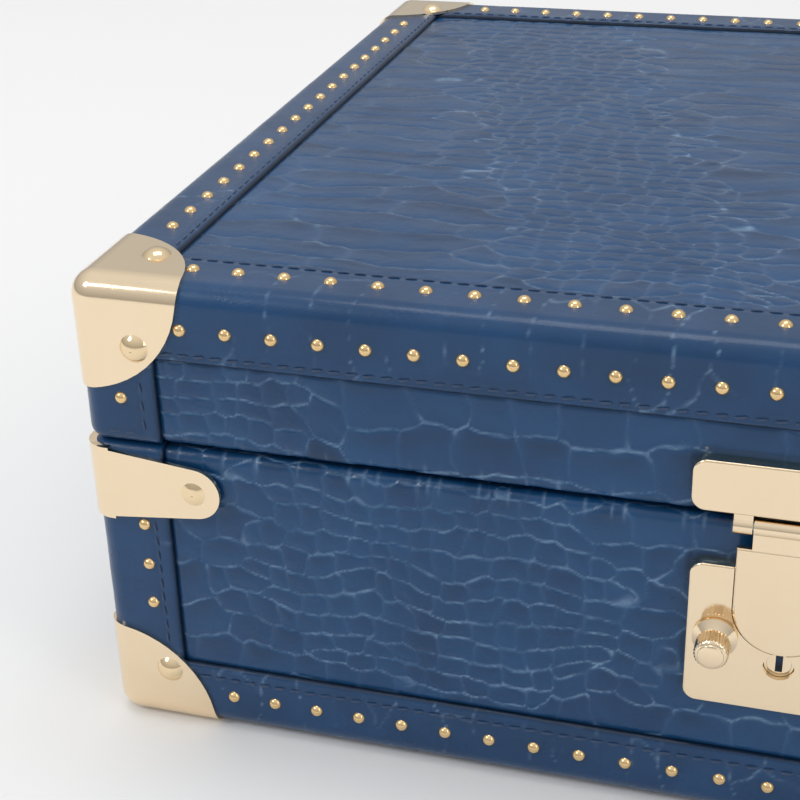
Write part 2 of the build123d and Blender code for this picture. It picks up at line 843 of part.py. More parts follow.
with BuildPart() as release_knob:
    knob_back_y = plate_front_y - knob_gap
    with BuildSketch(Plane(origin=(knob_x, knob_back_y, knob_z), x_dir=(1, 0, 0), z_dir=(0, 0, 1))):
        with BuildLine():
            Polyline(
                (0, 0),
                (collar_radius - 0.3, 0),
                (collar_radius, -0.4),
                (collar_radius, -1.0),
                (knob_radius + 0.1, -2.3),
                (knob_radius - 0.35, -2.4),
                (knob_radius - 0.35, -2.8),
                (knob_radius, -3.1),
                (knob_radius, -knob_length + 0.8),
                (knob_radius - 0.7, -knob_length),
                (0, -knob_length),
                close=True,
            )
        make_face()
    revolve(axis=Axis((knob_x, knob_back_y, knob_z), (0, 1, 0)))
    with BuildSketch(front_plane(bolt_y[0])):
        with Locations((knob_x, knob_z)):
            Circle(stem_radius)
    extrude(amount=bolt_y[0] - knob_back_y + 0.5)
write(release_knob, "release_knob")


# ---------------------------------------------------------------- rear stop hinges
leaf_y = back_y - panel_face
hinge_y = back_y + hinge_axis_out
knuckle_step = hinge_width / hinge_knuckle_count
leaf_gap = hinge_knuckle_radius + leaf_clear
screw_places = [(dx, dz) for dx in (-screw_spread, screw_spread) for dz in screw_rises]


def hinge_half(centre_x, upward, knuckles):
    """One hinge leaf with its knuckles and the stop flange behind them; `upward` is 1 for the lid's."""
    left = centre_x - hinge_width / 2
    near = hinge_z + upward * leaf_gap
    far = near + upward * hinge_leaf_height
    with BuildPart() as half:
        leaf_z = (min(near, far), max(near, far))
        upright_box(left, left + hinge_width, leaf_y, leaf_y + hinge_leaf_thick, *leaf_z)
        ends = half.edges().filter_by(Axis.Y).sort_by(Axis.Z)
        outer_ends = ends[-2:] if upward > 0 else ends[:2]
        fillet(outer_ends, hinge_leaf_corner)
        side = Plane(origin=(left, hinge_y, hinge_z), x_dir=(0, 1, 0), z_dir=(1, 0, 0))
        for start, end, reach in stop_spans(knuckles):
            with BuildSketch(side.offset(start)):
                with BuildLine():
                    c, s = math.cos(stop_angle), upward * math.sin(stop_angle)
                    root = (reach * c, reach * s)
                    tip = (stop_reach * c, stop_reach * s)
                    tip_back = (tip[0] - stop_thick * abs(s), tip[1] + upward * stop_thick * c)
                    root_back = (root[0] - stop_thick * abs(s), root[1] + upward * stop_thick * c)
                    Polyline(root, tip, tip_back, root_back, close=True)
                make_face()
            extrude(amount=end - start)
        for index in knuckles:
            start = index * knuckle_step + hinge_knuckle_clear / 2
            with BuildSketch(side.offset(start)):
                Circle(hinge_knuckle_radius)
                tongue_high = leaf_gap + cut_past
                middle_y = leaf_y - hinge_y + hinge_leaf_thick / 2
                middle = (middle_y, upward * (tongue_high / 2 + knuckle_seam))
                with Locations(middle):
                    Rectangle(hinge_leaf_thick, tongue_high - 2 * knuckle_seam)
            extrude(amount=knuckle_step - hinge_knuckle_clear)
        bore = hinge_pin_radius + (running_clear if upward > 0 else 0)
        add(
            bar_along_x(left - cut_past, left + hinge_width + cut_past, hinge_y, hinge_z, bore),
            mode=Mode.SUBTRACT,
        )
        for dx, dz in screw_places:
            add(screw(False).moved(screw_location(centre_x + dx, upward, dz)), mode=Mode.SUBTRACT)
    return half.part


def stop_spans(knuckles):
    """The stop flange runs the whole width, and reaches in to its own half's knuckles."""
    spans = []
    for index in range(hinge_knuckle_count):
        own = index in knuckles
        start = index * knuckle_step + (hinge_knuckle_clear / 2 if own else -hinge_knuckle_clear / 2)
        end = (index + 1) * knuckle_step - (hinge_knuckle_clear / 2 if own else -hinge_knuckle_clear / 2)
        start, end = max(start, hinge_knuckle_clear / 2), min(end, hinge_width - hinge_knuckle_clear / 2)
        spans.append((start, end, stop_root if own else hinge_knuckle_radius + stop_gap))
    return spans


def screw(recess):
    """A countersunk wood screw with its head flush with z = 0."""
    with BuildPart() as made:
        with BuildSketch(Plane.XZ):
            with BuildLine():
                Polyline(
                    (0, 0),
                    (screw_head_radius, 0),
                    (screw_core_radius, -screw_sink),
                    (screw_core_radius, -screw_length),
                    (0, -screw_length - screw_point),
                    close=True,
                )
            make_face()
        revolve(axis=Axis.Z)
        if recess:
            Box(screw_slot, 2 * screw_head_radius + cut_past, 2 * screw_slot_depth, mode=Mode.SUBTRACT)
    return made.part


def screw_location(x, upward, rise):
    """Where a screw goes in a leaf; `rise` is measured from the hinge's knuckles."""
    z = hinge_z + upward * (leaf_gap + rise - screw_drop)
    return Plane((x, leaf_y + hinge_leaf_thick, z), x_dir=(-1, 0, 0), z_dir=(0, 1, 0)).location


base_knuckles = range(0, hinge_knuckle_count, 2)
lid_knuckles = range(1, hinge_knuckle_count, 2)
hinge_centres = (-hinge_place, hinge_place)
for name, upward, knuckles in (("base", -1, base_knuckles), ("lid", 1, lid_knuckles)):
    with BuildPart() as leaves:
        for centre in hinge_centres:
            add(hinge_half(centre, upward, knuckles))
    write(leaves, f"{name}_hinge_leaves")
    with BuildPart() as screws:
        for centre in hinge_centres:
            for dx, dz in screw_places:
                add(screw(True).moved(screw_location(centre + dx, upward, dz)))
    write(screws, f"{name}_hinge_screws")

with BuildPart() as hinge_pins:
    for centre in hinge_centres:
        left = centre - hinge_width / 2
        add(bar_along_x(left, left + hinge_width, hinge_y, hinge_z, hinge_pin_radius))
write(hinge_pins, "hinge_pins")


# ---------------------------------------------------------------- lining, lip, pads and mirror
def wall_ring(outer_inset, thick, low, high):
    """A band round the inside of the walls, `outer_inset` from the outline."""
    outer = centred_box(case_width / 2 - outer_inset, case_depth / 2 - outer_inset, low, high)
    inner_inset = outer_inset + thick
    half_x = case_width / 2 - inner_inset
    half_y = case_depth / 2 - inner_inset
    return outer - centred_box(half_x, half_y, low - cut_past, high + cut_past)


lip_inside = wall_inside + lip_thick
lip_top = base_top + lip_rise
lip_ring = wall_ring(wall_inside, lip_thick, floor_top, base_top - rim_proud)
lip_ring = lip_ring + wall_ring(wall_inside + lip_step, lip_thick - lip_step, floor_top, lip_top)
with BuildPart() as closing_lip:
    for side in SIDES:
        add(lip_ring & parted_wedges[side])
write(closing_lip, "closing_lip")

lid_pad_low = lid_ceiling - lid_pad_thick
lid_lining_ring = wall_ring(wall_inside, lining_thick, lid_low + lid_lining_rise, lid_ceiling)
with BuildPart() as lid_lining:
    for side in SIDES:
        add(lid_lining_ring & parted_wedges[side])
write(lid_lining, "lid_lining")

room_half_x = case_width / 2 - lip_inside
room_half_y = case_depth / 2 - lip_inside
pad_half_x = inside_half_x - lining_thick - lid_pad_gap
pad_half_y = inside_half_y - lining_thick - lid_pad_gap

with BuildPart() as lid_pad:
    add(centred_box(pad_half_x, pad_half_y, lid_pad_low, lid_ceiling))
    fillet(lid_pad.faces().sort_by(Axis.Z)[0].edges(), lid_pad_round)
write(lid_pad, "lid_pad")

with BuildPart() as lid_mirror:
    add(centred_box(mirror_width / 2, mirror_depth / 2, lid_pad_low - mirror_thick, lid_pad_low))
write(lid_mirror, "lid_mirror")

frame_half_x = mirror_width / 2 + mirror_frame_width
frame_half_y = mirror_depth / 2 + mirror_frame_width
with BuildPart() as mirror_frame:
    add(centred_box(frame_half_x, frame_half_y, lid_pad_low - mirror_frame_thick, lid_pad_low))
    fillet(mirror_frame.faces().sort_by(Axis.Z)[0].edges(), mirror_frame_round)
    glass_half_x = mirror_width / 2 + fit_gap
    glass_half_y = mirror_depth / 2 + fit_gap
    add(
        centred_box(glass_half_x, glass_half_y, lid_pad_low - mirror_thick, lid_pad_low),
        mode=Mode.SUBTRACT,
    )
    add(
        centred_box(mirror_width / 2 - frame_cover, mirror_depth / 2 - frame_cover, 0, lid_pad_low),
        mode=Mode.SUBTRACT,
    )
write(mirror_frame, "mirror_frame")

pad_top = floor_top + floor_pad_thick
with BuildPart() as base_floor_pad:
    add(centred_box(room_half_x - bed_gap, room_half_y - bed_gap, floor_top, pad_top))
write(base_floor_pad, "base_floor_pad")

# ---------------------------------------------------------------- lift-out tray and compartments
tray_half_x = room_half_x - tray_clear
tray_half_y = room_half_y - tray_clear
tray_top = base_top - tray_below_rim
tray_low = tray_top - tray_height
room_front_y = case_shift - room_half_y
room_back_y = case_shift + room_half_y
tray_in_x = tray_half_x - tray_wall
tray_in_front = case_shift - tray_half_y + tray_wall
tray_in_back = case_shift + tray_half_y - tray_wall
tray_floor_top = tray_low + tray_floor_thick

with BuildPart() as tray_rails:
    for sign in (-1, 1):
        rail = sorted((sign * (room_half_x - rail_width), sign * (room_half_x - bed_gap)))
        upright_box(*rail, room_front_y + divider_end_gap, room_back_y - divider_end_gap, pad_top, tray_low)
write(tray_rails, "tray_rails")

lower_top = tray_low - divider_drop
lower_split_x = room_half_x / 3
lower_mid_y = case_shift
with BuildPart() as lower_dividers:
    for sign in (-1, 1):
        x = sign * lower_split_x
        upright_box(
            x - divider_thick / 2, x + divider_thick / 2,
            room_front_y + divider_end_gap, room_back_y - divider_end_gap, pad_top, lower_top,
        )
    upright_box(
        -room_half_x + rail_width + divider_end_gap, -lower_split_x - divider_thick / 2 - fit_gap,
        lower_mid_y - divider_thick / 2, lower_mid_y + divider_thick / 2, pad_top, lower_top,
    )
    upright_box(
        -lower_split_x + divider_thick / 2 + fit_gap, lower_split_x - divider_thick / 2 - fit_gap,
        lower_mid_y - divider_thick / 2, lower_mid_y + divider_thick / 2, pad_top, lower_top,
    )
    upright_box(
        lower_split_x + divider_thick / 2 + fit_gap, room_half_x - rail_width - divider_end_gap,
        lower_mid_y - divider_thick / 2, lower_mid_y + divider_thick / 2, pad_top, lower_top,
    )
write(lower_dividers, "lower_dividers")

with BuildPart() as tray_walls:
    upright_box(-tray_half_x, tray_half_x, case_shift - tray_half_y, tray_in_front, tray_low, tray_top)
    upright_box(-tray_half_x, tray_half_x, tray_in_back, case_shift + tray_half_y, tray_low, tray_top)
    for sign in (-1, 1):
        end = sorted((sign * tray_half_x, sign * tray_in_x))
        upright_box(*end, tray_in_front + fit_gap, tray_in_back - fit_gap, tray_low, tray_top)
write(tray_walls, "tray_walls")

with BuildPart() as tray_floor:
    upright_box(
        -tray_in_x + fit_gap, tray_in_x - fit_gap, tray_in_front + fit_gap, tray_in_back - fit_gap,
        tray_low, tray_floor_top,
    )
write(tray_floor, "tray_floor")

tray_divider_top = tray_top - tray_divider_drop
bay_back_y = tray_in_front + ring_bay_depth
bay_right_x = -tray_in_x + ring_bay_width
front_bays = 2
back_bays = 4
front_bay_width = (tray_in_x - bay_right_x - front_bays * divider_thick) / front_bays
back_bay_width = (2 * tray_in_x - (back_bays - 1) * divider_thick) / back_bays
front_divider_x = [bay_right_x + i * (front_bay_width + divider_thick) for i in range(front_bays)]
first_back_x = -tray_in_x + back_bay_width
back_divider_x = [first_back_x + i * (back_bay_width + divider_thick) for i in range(back_bays - 1)]
long_divider_y = (bay_back_y, bay_back_y + divider_thick)

with BuildPart() as tray_dividers:
    upright_box(
        -tray_in_x + fit_gap, tray_in_x - fit_gap, *long_divider_y, tray_floor_top, tray_divider_top
    )
    for x in front_divider_x:
        upright_box(
            x, x + divider_thick, tray_in_front + fit_gap, bay_back_y - fit_gap,
            tray_floor_top, tray_divider_top,
        )
    for x in back_divider_x:
        upright_box(
            x, x + divider_thick, long_divider_y[1] + fit_gap, tray_in_back - fit_gap,
            tray_floor_top, tray_divider_top,
        )
write(tray_dividers, "tray_dividers")

roll_pitch = 2 * ring_roll_radius + ring_roll_gap
roll_count = math.floor((ring_bay_depth - ring_roll_gap) / roll_pitch)
roll_first_y = tray_in_front + (ring_bay_depth - (roll_count - 1) * roll_pitch) / 2
roll_z = tray_floor_top + ring_roll_radius + roll_gap
with BuildPart() as ring_rolls:
    for index in range(roll_count):
        y = roll_first_y + index * roll_pitch
        add(bar_along_x(-tray_in_x + roll_end_gap, bay_right_x - roll_end_gap, y, roll_z, ring_roll_radius))
write(ring_rolls, "ring_rolls")

tab_front_y = long_divider_y[1] + tab_from_divider

with BuildPart() as tray_tabs:
    for sign in (-1, 1):
        tab = sorted((sign * (tray_in_x - fit_gap), sign * (tray_in_x - fit_gap - tab_thick)))
        upright_box(
            *tab, tab_front_y, tab_front_y + tab_width, tray_top - tab_sink, tray_top + tab_rise
        )
write(tray_tabs, "tray_tabs")
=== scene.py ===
import json
import math

import bpy
import numpy as np
from mathutils import Matrix, Vector


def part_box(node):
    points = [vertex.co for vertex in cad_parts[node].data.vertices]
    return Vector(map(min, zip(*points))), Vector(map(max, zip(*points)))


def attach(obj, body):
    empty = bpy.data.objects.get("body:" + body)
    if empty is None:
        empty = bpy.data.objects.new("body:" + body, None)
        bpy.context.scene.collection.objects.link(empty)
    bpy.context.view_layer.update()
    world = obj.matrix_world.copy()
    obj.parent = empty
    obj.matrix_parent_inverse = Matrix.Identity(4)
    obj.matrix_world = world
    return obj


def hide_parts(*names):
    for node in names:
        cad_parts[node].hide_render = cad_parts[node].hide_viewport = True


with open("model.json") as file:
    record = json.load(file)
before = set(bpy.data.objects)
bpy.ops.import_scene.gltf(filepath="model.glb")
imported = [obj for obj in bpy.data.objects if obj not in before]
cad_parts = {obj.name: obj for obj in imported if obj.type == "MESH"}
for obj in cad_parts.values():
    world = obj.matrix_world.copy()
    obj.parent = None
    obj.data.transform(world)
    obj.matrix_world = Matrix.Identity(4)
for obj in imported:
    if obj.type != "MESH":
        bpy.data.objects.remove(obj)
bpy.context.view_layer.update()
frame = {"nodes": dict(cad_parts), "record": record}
nodes = frame["nodes"]
SIDES = ("front", "back", "left", "right")


def box_mm(node):
    """A CAD node's lowest and highest corners, in millimetres."""
    low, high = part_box(node)
    return np.array(low) * 1000, np.array(high) * 1000


# ---------------------------------------------------------------- places, mm
band_low, band_high = box_mm("lid_binding")
foot_low, foot_high = box_mm("base_bottom_binding")
lid_strip_low, lid_strip_high = box_mm("lid_corner_strips")
base_strip_low, base_strip_high = box_mm("base_corner_strips")
top_high = box_mm("lid_top_leather")[1]
front_low, front_high = box_mm("base_front_leather")
lid_front_low = box_mm("lid_front_leather")[0]

LEFT, RIGHT = band_low[0], band_high[0]
FRONT, BACK = band_low[1], band_high[1]
LID_TOP, LID_LOW = band_high[2], lid_strip_low[2]
BASE_TOP, BASE_LOW = base_strip_high[2], foot_low[2]
BAND = LID_TOP - band_low[2]
FOOT_BAND = foot_high[2] - BASE_LOW
STRIP = 21.0
BINDING = front_low[1] - FRONT
EDGE = 5.5
RIM = 3.0
RIM_DEPTH = front_high[1] - FRONT
PANEL_RIM = RIM - (BASE_TOP - front_high[2])
LAP = 1.6  # how far a panel runs in under its binding and strips
SKIN = 0.03  # how far a panel's lowest point stands off the leather that it replaces
# stitch rows: in from the lid's edge, down its wall, down from the foot binding's top, and in from a corner
STITCH_TOP = 18.3
STITCH_SIDE = 18.0
STITCH_FOOT = 3.6
STITCH_STRIP = 17.0


# ---------------------------------------------------------------- materials
class Nodes:
    """A material's node tree, with short calls for making and joining nodes."""

    def __init__(self, name):
        self.material = bpy.data.materials.new(name)
        self.material.use_nodes = True
        self.tree = self.material.node_tree
        self.shader = self.tree.nodes["Principled BSDF"]

    def add(self, kind, **values):
        node = self.tree.nodes.new(kind)
        for key, value in values.items():
            setattr(node, key, value)
        return node

    def join(self, source, target):
        self.tree.links.new(source, target)

    def put(self, **values):
        for key, value in values.items():
            self.shader.inputs[key.replace("_", " ")].default_value = value

    def place(self):
        return self.add("ShaderNodeTexCoord").outputs["Object"]

    def stretched(self, scale):
        mapping = self.add("ShaderNodeMapping")
        mapping.inputs["Scale"].default_value = scale
        self.join(self.place(), mapping.inputs["Vector"])
        return mapping.outputs["Vector"]

    def noise(self, scale, detail=3.0, rough=0.5, vector=None):
        node = self.add("ShaderNodeTexNoise")
        node.inputs["Scale"].default_value = scale
        node.inputs["Detail"].default_value = detail
        node.inputs["Roughness"].default_value = rough
        self.join(vector or self.place(), node.inputs["Vector"])
        return node.outputs["Fac"]

    def spread(self, value, low, high, to_low, to_high):
        node = self.add("ShaderNodeMapRange")
        for key, number in zip(("From Min", "From Max", "To Min", "To Max"), (low, high, to_low, to_high)):
            node.inputs[key].default_value = number
        self.join(value, node.inputs["Value"])
        return node.outputs["Result"]

    def mix(self, share, first, second, how="MIX"):
        node = self.add("ShaderNodeMix", data_type="RGBA", blend_type=how)
        for key, value in (("Factor", share), ("A", first), ("B", second)):
            socket = next(s for s in node.inputs if s.name == key and s.enabled)
            if isinstance(value, bpy.types.NodeSocket):
                self.join(value, socket)
            elif key == "Factor":
                socket.default_value = value
            else:
                socket.default_value = (*value, 1.0)
        return next(s for s in node.outputs if s.enabled)

    def math(self, how, first, second):
        node = self.add("ShaderNodeMath", operation=how)
        for socket, value in zip(node.inputs, (first, second)):
            if isinstance(value, bpy.types.NodeSocket):
                self.join(value, socket)
            else:
                socket.default_value = value
        return node.outputs[0]

    def held(self, name):
        """A value that the mesh carries."""
        return self.add("ShaderNodeAttribute", attribute_name=name).outputs["Fac"]

    def bump(self, height, strength, distance, normal=None):
        node = self.add("ShaderNodeBump")
        node.inputs["Strength"].default_value = strength
        node.inputs["Distance"].default_value = distance
        self.join(height, node.inputs["Height"])
        if normal:
            self.join(normal, node.inputs["Normal"])
        return node.outputs["Normal"]


def leather(name, dark, mid, light, rough, grain, relief=1.0):
    """Glazed leather: mottled, with fine pores, thin crease lines painted lighter as a painted highlight,
    painted shade where the mesh's shade value is high, and dark seams.
    """
    n = Nodes(name)
    mottle = n.noise(34, 6, 0.62)
    colour = n.mix(n.spread(mottle, 0.34, 0.68, 0.0, 1.0), dark, mid)
    colour = n.mix(n.spread(n.held("cell"), 0, 1, 0.0, 0.30), colour, light)
    # Painted shade: the mesh's shade value darkens the colour. On the croc panels it is painted shade on one
    # side of each scale; on the bindings and strips it is a plain noise darkening.
    colour = n.mix(n.spread(n.held("shade"), 0, 1, 0.0, 0.80), colour, tuple(c * 0.42 for c in dark))
    # Painted highlight: the crease lines that the mesh marks are painted a lighter blue, as if their ledges
    # caught the light, broken up by a noise.
    worn = n.spread(n.noise(95, 6, 0.75), 0.36, 0.62, 0.22, 1.0)
    colour = n.mix(n.math("MULTIPLY", worn, n.held("line")), colour, (0.17, 0.28, 0.43))
    scuffs = n.spread(n.noise(430, 6, 0.78), 0.66, 0.76, 0.0, 0.22)
    colour = n.mix(scuffs, colour, (0.09, 0.155, 0.26))
    colour = n.mix(n.held("seam"), colour, tuple(c * 0.16 for c in dark))
    n.join(colour, n.shader.inputs["Base Color"])
    gloss = n.math("ADD", n.spread(n.noise(70, 4), 0.3, 0.7, rough - 0.05, rough + 0.09),
                   n.spread(n.held("shade"), 0, 1, 0.0, 0.14))
    n.join(gloss, n.shader.inputs["Roughness"])
    creases = n.add("ShaderNodeTexVoronoi", feature="DISTANCE_TO_EDGE")
    creases.inputs["Scale"].default_value = grain
    n.join(n.place(), creases.inputs["Vector"])
    fine = n.spread(creases.outputs["Distance"], 0.0, 0.09, 0.0, 1.0)
    normal = n.bump(fine, 0.24 * relief, 0.00006)
    normal = n.bump(n.noise(1500, 3, 0.6), 0.36 * relief, 0.00006, normal)
    normal = n.bump(n.noise(260, 5, 0.66), 0.42 * relief, 0.00020, normal)
    n.join(normal, n.shader.inputs["Normal"])
    n.put(Specular_IOR_Level=0.30, Coat_Weight=0.20, Coat_Roughness=0.09)
    return n.material


def metal(name, tint, worn, rough, brushed=0.0):
    """Polished plate with faint polishing marks and slightly duller patches."""
    n = Nodes(name)
    cloud = n.noise(55, 4, 0.6)
    n.join(n.mix(n.spread(cloud, 0.35, 0.75, 0.0, 0.45), tint, worn), n.shader.inputs["Base Color"])
    marks = n.noise(420, 3, 0.7, n.stretched((1.0, 1.0, 7.0)))
    n.join(n.spread(marks, 0.3, 0.75, rough, rough + 0.07 + brushed), n.shader.inputs["Roughness"])
    normal = n.bump(n.noise(24, 2), 0.12, 0.0004)
    normal = n.bump(marks, 0.05 + brushed, 0.00003, normal)
    n.join(normal, n.shader.inputs["Normal"])
    n.put(Metallic=1.0, Specular_IOR_Level=0.5)
    return n.material


def suede(name, dark, light):
    """Short-napped microsuede with brushed patches."""
    n = Nodes(name)
    nap = n.noise(26, 4, 0.55)
    colour = n.mix(n.spread(nap, 0.35, 0.68, 0.0, 1.0), dark, light)
    fibre = n.noise(2600, 3, 0.8)
    colour = n.mix(n.spread(fibre, 0.3, 0.7, 0.0, 0.28), colour, tuple(c * 0.55 for c in dark))
    n.join(colour, n.shader.inputs["Base Color"])
    n.join(n.spread(nap, 0.3, 0.7, 0.82, 0.97), n.shader.inputs["Roughness"])
    normal = n.bump(fibre, 0.5, 0.0001)
    n.join(n.bump(n.noise(140, 5), 0.3, 0.0003, normal), n.shader.inputs["Normal"])
    n.put(Specular_IOR_Level=0.15, Sheen_Weight=0.45, Sheen_Roughness=0.4)
    return n.material


def timber(name):
    n = Nodes(name)
    rings = n.noise(9, 6, 0.6, n.stretched((1.0, 9.0, 9.0)))
    n.join(n.mix(n.spread(rings, 0.35, 0.65, 0.0, 1.0), (0.36, 0.24, 0.13), (0.58, 0.43, 0.27)),
           n.shader.inputs["Base Color"])
    pores = n.noise(160, 4, 0.7, n.stretched((1.0, 12.0, 12.0)))
    n.join(n.bump(pores, 0.4, 0.0002), n.shader.inputs["Normal"])
    n.join(n.spread(pores, 0.3, 0.7, 0.6, 0.8), n.shader.inputs["Roughness"])
    return n.material


def mirror_glass(name):
    n = Nodes(name)
    haze = n.noise(14, 4, 0.5)
    n.join(n.mix(n.spread(haze, 0.3, 0.8, 0.0, 0.3), (0.93, 0.94, 0.93), (0.86, 0.88, 0.87)),
           n.shader.inputs["Base Color"])
    n.join(n.spread(haze, 0.4, 0.8, 0.015, 0.05), n.shader.inputs["Roughness"])
    n.put(Metallic=1.0)
    return n.material


def thread(name):
    n = Nodes(name)
    twist = n.add("ShaderNodeTexWave", wave_type="BANDS", bands_direction="DIAGONAL")
    twist.inputs["Scale"].default_value = 900
    n.join(n.place(), twist.inputs["Vector"])
    n.join(n.mix(twist.outputs["Fac"], (0.008, 0.022, 0.060), (0.038, 0.085, 0.185)),
           n.shader.inputs["Base Color"])
    n.join(n.bump(twist.outputs["Fac"], 0.5, 0.00008), n.shader.inputs["Normal"])
    n.join(n.spread(n.noise(800, 2), 0.3, 0.7, 0.55, 0.75), n.shader.inputs["Roughness"])
    n.put(Sheen_Weight=0.15)
    return n.material


def floor_paint(name):
    n = Nodes(name)
    n.join(n.mix(n.spread(n.noise(3, 2), 0.3, 0.7, 0.0, 1.0), (0.865, 0.865, 0.865), (0.875, 0.875, 0.875)),
           n.shader.inputs["Base Color"])
    n.put(Roughness=0.85, Specular_IOR_Level=0.1)
    return n.material


croc = leather("croc_leather",
               (0.0050, 0.042, 0.122), (0.0085, 0.062, 0.170), (0.013, 0.084, 0.215), 0.26, 620)
bound = leather("binding_leather",
                (0.0050, 0.040, 0.116), (0.0080, 0.057, 0.158), (0.012, 0.074, 0.195), 0.26, 760)
trim = leather("trim_leather",
               (0.0065, 0.040, 0.110), (0.0095, 0.055, 0.146), (0.013, 0.070, 0.175), 0.38, 900)
gold = metal("gold_plate", (0.90, 0.735, 0.52), (0.86, 0.68, 0.455), 0.08)
nail_gold = metal("gold_nails", (0.84, 0.60, 0.31), (0.72, 0.48, 0.22), 0.13)
rivet_gold = metal("gold_rivets", (0.88, 0.70, 0.45), (0.80, 0.60, 0.35), 0.10)
steel = metal("plain_steel", (0.56, 0.56, 0.57), (0.42, 0.42, 0.43), 0.28, 0.2)
wood = timber("sawn_board")
lining = suede("suede_lining", (0.36, 0.315, 0.27), (0.47, 0.42, 0.365))
footing = suede("base_fabric", (0.018, 0.024, 0.040), (0.040, 0.048, 0.070))
glass = mirror_glass("silvered_glass")
sewing = thread("navy_thread")
paint = floor_paint("pale_floor")

BY_SLOT = {
    "croc_leather": croc, "binding_leather": bound, "trim_leather": trim,
    "gold_brass": gold, "steel": steel,
    "wood": wood, "suede_lining": lining, "base_fabric": footing, "mirror": glass,
}
for part in frame["record"]["subparts"]:
    own = nodes[part["node"]]
    own.data.materials.clear()
    finish = BY_SLOT[part["material_slot"]]
    if part["node"].endswith("studs"):
        finish = nail_gold
    if part["node"].endswith("rivets") or part["node"].endswith("screws"):
        finish = rivet_gold
    own.data.materials.append(finish)


# ---------------------------------------------------------------- mesh tools
def mesh_piece(name, points, faces, material, body, smooth=True, held=None):
    """A piece from points in millimetres and faces all of one size, riding on a body."""
    mesh = bpy.data.meshes.new(name)
    faces = np.asarray(faces, np.int32)
    corners = faces.shape[1]
    mesh.vertices.add(len(points))
    mesh.vertices.foreach_set("co", (np.asarray(points, np.float64) / 1000).astype(np.float32).ravel())
    mesh.loops.add(faces.size)
    mesh.loops.foreach_set("vertex_index", faces.ravel())
    mesh.polygons.add(len(faces))
    mesh.polygons.foreach_set("loop_start", np.arange(0, faces.size, corners, dtype=np.int32))
    mesh.update(calc_edges=True)
    mesh.polygons.foreach_set("use_smooth", np.full(len(faces), smooth))
    for key, values in (held or {}).items():
        attribute = mesh.attributes.new(key, "FLOAT", "POINT")
        attribute.data.foreach_set("value", values.astype(np.float32).ravel())
    mesh.materials.append(material)
    made = bpy.data.objects.new(name, mesh)
    bpy.context.scene.collection.objects.link(made)
    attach(made, body)
    return made


def grid_faces(rows, columns, flip=False):
    index = np.arange(rows * columns).reshape(rows, columns)
    quads = np.stack([index[:-1, :-1], index[:-1, 1:], index[1:, 1:], index[1:, :-1]], -1).reshape(-1, 4)
    return quads[:, ::-1] if flip else quads


def skirted(points, normals, depth, held):
    """The grid with its border turned down, so that it has a thickness."""
    points = np.pad(points, ((1, 1), (1, 1), (0, 0)), mode="edge")
    normals = np.pad(normals, ((1, 1), (1, 1), (0, 0)), mode="edge")
    held = {key: np.pad(value, 1, mode="edge") for key, value in held.items()}
    border = np.zeros(points.shape[:2], bool)
    border[[0, -1], :] = True
    border[:, [0, -1]] = True
    points[border] -= normals[border] * depth
    held["seam"] = np.where(border, 1.0, held.get("seam", np.zeros(border.shape)))
    return points, held


def soft_noise(across, along, scale, seed):
    """Smooth value noise from 0 to 1 over two arrays of millimetres."""
    chance = np.random.default_rng(seed)
    a, b = across / scale, along / scale
    a, b = a - a.min(), b - b.min()
    table = chance.random((int(b.max()) + 3, int(a.max()) + 3))
    ai, bi = a.astype(int), b.astype(int)
    af, bf = a - ai, b - bi
    af, bf = af * af * (3 - 2 * af), bf * bf * (3 - 2 * bf)
    low = table[bi, ai] * (1 - af) + table[bi, ai + 1] * af
    high = table[bi + 1, ai] * (1 - af) + table[bi + 1, ai + 1] * af
    return low * (1 - bf) + high * bf


def smooth_step(value, low, high):
    t = np.clip((value - low) / (high - low), 0, 1)
    return t * t * (3 - 2 * t)


# ------------------------------------------------------- embossed scale relief
SCALE_SIZES = ((15.0, 11.5), (10.0, 8.4), (7.2, 6.1))


def seeds_for(width, height, size_at, chance, sizes=SCALE_SIZES):
    """Centres of the embossed scales, in rows: long ones, short ones and small rounded ones, by region."""
    found = []
    for level, (length, depth) in enumerate(sizes):
        for row in range(-1, int(height / depth) + 2):
            along = -length * chance.random()
            while along < width + length:
                cell = length * chance.uniform(0.72, 1.32)
                u, v = along + cell / 2, (row + 0.5 + chance.uniform(-0.16, 0.16)) * depth
                along += cell
                share = size_at(np.clip(u, 0, width), np.clip(v, 0, height))
                if min(len(sizes) - 1, int(share * len(sizes))) == level:
                    found.append((u, v, cell / 2, depth / 2 * chance.uniform(0.88, 1.12)))
    return found


